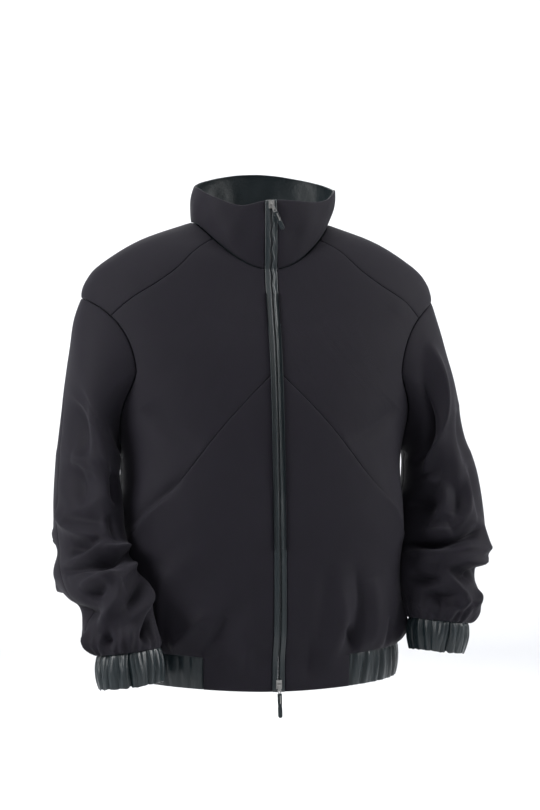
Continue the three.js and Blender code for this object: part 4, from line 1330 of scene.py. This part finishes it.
class JACKET_OT_body(bpy.types.Operator):
    """Sews the fronts and the back"""

    bl_idname = "jacket.body"
    bl_label = "Fronts and back"

    def execute(self, context):
        wall = in_mm(context.scene.jacket_sizes.wool_wall)
        faces = [wool(), lining_satin_painted_shade()]
        for name, sleeve in SLEEVES.items():
            side = sleeve["side"]
            cloth_piece(
                f"front_upper_{name}_cloth", upper_front_points(side), wall, "wool_twill", faces,
                rests_on=["back"], side=side,
            )
            points, notch = lower_front_points(side)
            cloth_piece(
                f"front_lower_{name}_cloth", points, wall, "wool_twill", faces,
                rests_on=[f"front_upper_{name}_cloth"], side=side, notch=notch,
            )
            cloth_piece(
                f"pocket_facing_{name}", facing_points(side), FACING_WALL, "wool_twill",
                [wool(), wool()], rests_on=[f"front_lower_{name}_cloth"], side=side, dip=0,
            )
        cloth_piece(
            "back_cloth", back_points(), wall, "wool_twill", faces, rests_on=["back"],
        )
        return {"FINISHED"}


class JACKET_OT_sleeves(bpy.types.Operator):
    """Sews the fronts and backs of both sleeves"""

    bl_idname = "jacket.sleeves"
    bl_label = "Sleeves"

    def execute(self, context):
        wall = in_mm(context.scene.jacket_sizes.wool_wall)
        for name, sleeve in SLEEVES.items():
            for half in ("front", "back"):
                cloth_piece(
                    f"sleeve_{half}_{name}_cloth", sleeve_half_points(name, half == "front"),
                    wall, "wool_twill", [wool(), lining_satin_painted_shade()], rests_on=["back_cloth"],
                    side=sleeve["side"],
                )
        return {"FINISHED"}


class JACKET_OT_bands(bpy.types.Operator):
    """Gathers the satin cuffs and the hem band"""

    bl_idname = "jacket.bands"
    bl_label = "Cuffs and hem band"

    def execute(self, context):
        wall = in_mm(context.scene.jacket_sizes.satin_wall)
        faces = [satin(), satin()]
        for name, sleeve in SLEEVES.items():
            cloth_piece(
                f"cuff_{name}_cloth", cuff_points(name), wall, "teal_satin", faces,
                held="gathered", rests_on=[f"sleeve_front_{name}_cloth"],
                side=-sleeve["side"], loop=True, dip=0.2,
            )
        cloth_piece(
            "hem_band_cloth", hem_band_points(), wall, "teal_satin", faces,
            held="gathered", rests_on=["back_cloth"], dip=0.2,
        )
        return {"FINISHED"}


class JACKET_OT_collar(bpy.types.Operator):
    """Sews the stand collar and its lining"""

    bl_idname = "jacket.collar"
    bl_label = "Collar"

    def execute(self, context):
        wall = in_mm(context.scene.jacket_sizes.wool_wall)
        cloth_piece(
            "collar_cloth", collar_points(0, FRONT_EDGE, 0, 1), wall, "wool_twill",
            [wool(), lining_satin_painted_shade()], rests_on=["back_cloth"],
        )
        cloth_piece(
            "collar_lining_cloth", collar_points(wall + 0.1, TAPE_OUTER + 1, -0.05, 0.985),
            in_mm(context.scene.jacket_sizes.lining_wall), "teal_satin",
            [lining_satin_painted_shade(), lining_satin_painted_shade()], rests_on=["collar_cloth"],
        )
        return {"FINISHED"}


TEETH_DEPTH = 2.1
TEETH_SHIFT = 0.45


class JACKET_OT_zip(bpy.types.Operator):
    """Sews the satin strips and zip tapes, and sets the zip's teeth"""

    bl_idname = "jacket.zip"
    bl_label = "Zip"

    def execute(self, context):
        sizes = context.scene.jacket_sizes
        colours = context.scene.jacket_colours
        tape = shared("zip_tape_weave", tape_material, colours.tape)
        for name, sleeve in SLEEVES.items():
            side = sleeve["side"]
            cloth_piece(
                f"zip_strip_{name}_cloth", zip_strip_points(side), in_mm(sizes.satin_wall),
                "teal_satin", [satin(), satin()], rests_on=[f"front_upper_{name}_cloth"],
                side=side, dip=0,
            )
            cloth_piece(
                f"zip_tape_{name}_cloth", zip_tape_points(side), in_mm(sizes.tape_wall),
                "zip_tape_cloth", [tape, tape], rests_on=[f"zip_strip_{name}_cloth"],
                side=side, dip=0,
            )
        teeth = piece(
            "zip_teeth", teeth_mesh(in_mm(sizes.tooth_pitch)), None,
            [shared("zip_coil_plastic", coil_material, colours.tape)],
        )
        teeth.data.shade_smooth()
        return {"FINISHED"}


def teeth_mesh(pitch):
    """Small rounded teeth that lock alternately from both sides, under the strips' gap."""
    tooth = np.array([
        (-1.0, -0.4, -0.45), (1.0, -0.4, -0.45), (1.0, 0.6, -0.45), (-1.0, 0.6, -0.45),
        (-1.0, -0.4, 0.45), (1.0, -0.4, 0.45), (1.0, 0.6, 0.45), (-1.0, 0.6, 0.45),
        (-0.7, -0.75, -0.28), (0.7, -0.75, -0.28), (0.7, -0.75, 0.28), (-0.7, -0.75, 0.28),
    ])
    faces = [
        (0, 3, 2, 1), (4, 5, 6, 7), (1, 2, 6, 5), (0, 4, 7, 3), (3, 7, 6, 2),
        (0, 1, 9, 8), (1, 5, 10, 9), (5, 4, 11, 10), (4, 0, 8, 11), (8, 9, 10, 11),
    ]
    line = zip_line()
    seats = centre_front(line, np.full_like(line, 0.01))
    normals = centre_front_normal(line, np.full_like(line, 0.01))
    run = lengths(seats[None], 1)[0]
    stops = np.arange(5, run[-1] - 6, pitch / 2)
    vertices, quads = [], []
    for k, stop in enumerate(stops):
        seat = [np.interp(stop, run, seats[:, axis]) for axis in range(3)]
        normal = unit(np.array([np.interp(stop, run, normals[:, axis]) for axis in range(3)]))
        up = unit(np.cross([1, 0, 0], -normal))
        turn = np.stack([[1, 0, 0], -normal, up])
        middle = np.array(seat) - normal * TEETH_DEPTH
        middle[0] += TEETH_SHIFT * (-1) ** k
        quads += [tuple(len(vertices) + q for q in face) for face in faces]
        vertices += list((tooth @ turn + middle) * MM)
    mesh = bpy.data.meshes.new("zip_teeth")
    mesh.from_pydata(vertices, [], quads)
    mesh.update()
    return mesh


class JACKET_OT_pulls(bpy.types.Operator):
    """Finishes the sliders, pullers and bars, and sews the pull tabs"""

    bl_idname = "jacket.pulls"
    bl_label = "Sliders and pulls"

    def execute(self, context):
        for name, node in frame["nodes"].items():
            if name.startswith(("slider", "puller", "pull_bar")):
                finish_metal(node)
        for joint in frame["joints"]:
            end = joint["child"].removesuffix("_pull")
            sew_tab(end, Vector(joint["pos_m"]), joint["child"])
        return {"FINISHED"}


def finish_metal(node):
    """Gives a CAD metal part a bright finish and slightly eased edges."""
    node.data.materials.clear()
    node.data.materials.append(metal())
    bevel = node.modifiers.new("eased_edges", "BEVEL")
    bevel.width = 0.00018
    bevel.segments = 2
    bevel.limit_method = "ANGLE"
    bevel.harden_normals = True


def sew_tab(end, pin, body):
    """A folded satin tab in place of the plain one, from the puller to its rounded tip."""
    low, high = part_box(f"pull_tab_{end}")
    near, far = tab_ends(low, high, pin)
    axis = (far - near).normalized()
    length = (far - near).length
    outward = Vector((0, -1, 0))
    across = axis.cross(outward).normalized()
    half_wide, half_thick = 0.0034, 0.00078
    down, around = np.meshgrid(np.linspace(0, 1, 40), np.linspace(0, 1, 25), indexing="ij")
    angle = around * 2 * np.pi
    rounding = np.clip((down * length - length + half_wide) / half_wide, 0, 1)
    tip = np.sqrt(1 - rounding**2)
    grip = 1 - 0.12 * np.exp(-((down - 0.5) / 0.08) ** 2)
    c, s = np.cos(angle), np.sin(angle)
    x = np.sign(c) * np.abs(c) ** 0.6 * half_wide * grip * np.maximum(tip, 0.05)
    y = np.sign(s) * np.abs(s) ** 0.6 * half_thick * (0.85 + 0.15 * tip)
    wave = 0.00012 * np.sin(down * 40)
    points = (
        np.array(near) + np.array(axis) * (down * length)[..., None]
        + np.array(across) * x[..., None] + np.array(outward) * (y + wave)[..., None]
    )
    m, n = points.shape[:2]
    index = np.arange(m * n).reshape(m, n)
    quads = np.stack([index[:-1, :-1], index[:-1, 1:], index[1:, 1:], index[1:, :-1]], -1)
    faces = quads.reshape(-1, 4).tolist()
    faces += [index[0, :-1][::-1].tolist(), index[-1, :-1].tolist()]
    mesh = bpy.data.meshes.new(f"pull_tab_{end}_cloth")
    mesh.from_pydata(points.reshape(-1, 3).tolist(), [], faces)
    layer = mesh.uv_layers.new(name="cloth")
    flat = np.stack([around * 4 * half_wide, down * length], -1).reshape(-1, 2)
    corners = np.array([v for face in faces for v in face])
    layer.data.foreach_set("uv", flat[corners].astype(np.float32).ravel())
    mesh.update()
    weld(mesh)
    made = piece(mesh.name, mesh, f"pull_tab_{end}", [satin()], body)
    made.data.shade_smooth()


def weld(mesh):
    """Joins the repeated column of a closed tube and faces it outwards."""
    shape = bmesh.new()
    shape.from_mesh(mesh)
    bmesh.ops.remove_doubles(shape, verts=shape.verts, dist=1e-6)
    bmesh.ops.recalc_face_normals(shape, faces=shape.faces)
    shape.to_mesh(mesh)
    shape.free()


def tab_ends(low, high, pin):
    """The top and bottom middle of a tab's box, on the side that its puller hangs to."""
    middle_y = (low.y + high.y) / 2
    lean = (low.x + high.x) / 2 - pin.x
    reach = Vector((lean, 0, (low.z + high.z) / 2 - pin.z)).normalized()
    half_wide = 0.0023
    top = (high.z - pin.z) / reach.z
    bottom = (low.z - pin.z) / reach.z
    trim = half_wide * abs(reach.x)
    near = Vector((pin.x, middle_y, pin.z)) + reach * (top + trim)
    far = Vector((pin.x, middle_y, pin.z)) + reach * (bottom - trim * 0.3)
    return near, far


# Each light's place, the point it faces, its size in metres and its power in watts.
# The last one faces the wall behind the jacket.
MIDDLE = (0, 0, -0.3)
SOFT_LIGHTS = {
    "side_left": ((-3, -1, 1.2), MIDDLE, 1.6, 235),
    "side_right": ((3, -0.9, 1.1), MIDDLE, 1.6, 185),
    "front": ((-0.8, -3.2, 2.2), MIDDLE, 1.4, 40),
    "top": ((0, 0.2, 2.9), MIDDLE, 2.0, 80),
    "back": ((0.4, 3.4, 1.4), MIDDLE, 2.4, 50),
    "backdrop": ((0, 2.2, 1.2), (0, 3.2, 1.08), 3.0, 150),
}


class JACKET_OT_stage(bpy.types.Operator):
    """Sets up the floor, the soft lights and the camera"""

    bl_idname = "jacket.stage"
    bl_label = "Stage"

    def execute(self, context):
        stage = context.scene.jacket_stage
        studio_bowl(stage.floor, stage.paper)
        for name, (place, aim, size, power) in SOFT_LIGHTS.items():
            soft_light(name, Vector(place), Vector(aim), size, power * stage.light)
        world = bpy.data.worlds.new("studio_air")
        context.scene.world = world
        world.use_nodes = True
        background = world.node_tree.nodes["Background"]
        background.inputs["Color"].default_value = (0.95, 0.97, 1.0, 1)
        background.inputs["Strength"].default_value = 0.4 * stage.light
        context.scene.view_settings.view_transform = "Standard"
        camera = bpy.data.cameras.new("camera")
        camera.lens = stage.lens
        camera.sensor_width = 36
        eye = bpy.data.objects.new("camera", camera)
        context.scene.collection.objects.link(eye)
        forward = Vector((-math.sin(stage.azimuth), math.cos(stage.azimuth), 0))
        right = Vector((math.cos(stage.azimuth), math.sin(stage.azimuth), 0))
        eye.location = right * stage.sideways - forward * stage.distance
        eye.location.z = stage.height
        eye.rotation_euler = forward.to_track_quat("-Z", "Y").to_euler()
        context.scene.camera = eye
        return {"FINISHED"}


def studio_bowl(floor, colour):
    """A round floor that curves up into a low wall on every side."""
    flat_radius, bend_radius, wall_top = 6.0, 1.5, 2.5
    profile = [(r, 0.0) for r in (0.5, 1, 2, 3, 4, 5, flat_radius)]
    for step in range(1, 13):
        angle = math.radians(step * 90 / 12)
        profile.append((
            flat_radius + bend_radius * math.sin(angle), bend_radius * (1 - math.cos(angle)),
        ))
    profile.append((flat_radius + bend_radius, wall_top - floor))
    sectors = 96
    vertices = [(0, 0, floor)]
    for radius, rise in profile:
        for k in range(sectors):
            angle = 2 * math.pi * k / sectors
            vertices.append((radius * math.cos(angle), radius * math.sin(angle), floor + rise))
    faces = [(0, 1 + k, 1 + (k + 1) % sectors) for k in range(sectors)]
    for row in range(len(profile) - 1):
        for k in range(sectors):
            a, b = 1 + row * sectors + k, 1 + row * sectors + (k + 1) % sectors
            faces.append((a, a + sectors, b + sectors, b))
    mesh = bpy.data.meshes.new("studio_floor")
    mesh.from_pydata(vertices, [], faces)
    mesh.materials.append(paper_material(colour))
    mesh.shade_smooth()
    bowl = bpy.data.objects.new("studio_floor", mesh)
    bpy.context.scene.collection.objects.link(bowl)
    return bowl


def soft_light(name, place, aim, size, power):
    """A square soft light that faces a point."""
    lamp = bpy.data.lights.new(name, "AREA")
    lamp.size = size
    lamp.energy = power
    made = bpy.data.objects.new(name, lamp)
    bpy.context.scene.collection.objects.link(made)
    made.location = place
    made.rotation_euler = (aim - place).to_track_quat("-Z", "Y").to_euler()


class JACKET_PT_panel(bpy.types.Panel):
    """Lists the jacket's settings and its steps"""

    bl_label = "Reversible jacket"
    bl_space_type = "VIEW_3D"
    bl_region_type = "UI"
    bl_category = "Jacket"

    def draw(self, context):
        scene = context.scene
        for group in (scene.jacket_colours, scene.jacket_sizes, scene.jacket_stage):
            column = self.layout.column()
            for name in group.__annotations__:
                column.prop(group, name)
        for step in STEPS:
            self.layout.operator(step.bl_idname)


STEPS = (
    JACKET_OT_body,
    JACKET_OT_sleeves,
    JACKET_OT_bands,
    JACKET_OT_collar,
    JACKET_OT_zip,
    JACKET_OT_pulls,
    JACKET_OT_stage,
)
GROUPS = {
    "jacket_colours": JacketColours,
    "jacket_sizes": JacketSizes,
    "jacket_stage": JacketStage,
}


def register():
    for group in GROUPS.values():
        bpy.utils.register_class(group)
    for step in (*STEPS, JACKET_PT_panel):
        bpy.utils.register_class(step)
    for name, group in GROUPS.items():
        setattr(bpy.types.Scene, name, bpy.props.PointerProperty(type=group))


def unregister():
    for name in GROUPS:
        delattr(bpy.types.Scene, name)
    for step in reversed((*GROUPS.values(), *STEPS, JACKET_PT_panel)):
        bpy.utils.unregister_class(step)


def main():
    register()
    bpy.ops.jacket.body()
    bpy.ops.jacket.sleeves()
    bpy.ops.jacket.bands()
    bpy.ops.jacket.collar()
    bpy.ops.jacket.zip()
    bpy.ops.jacket.pulls()
    bpy.ops.jacket.stage()


if __name__ == "__main__":
    main()
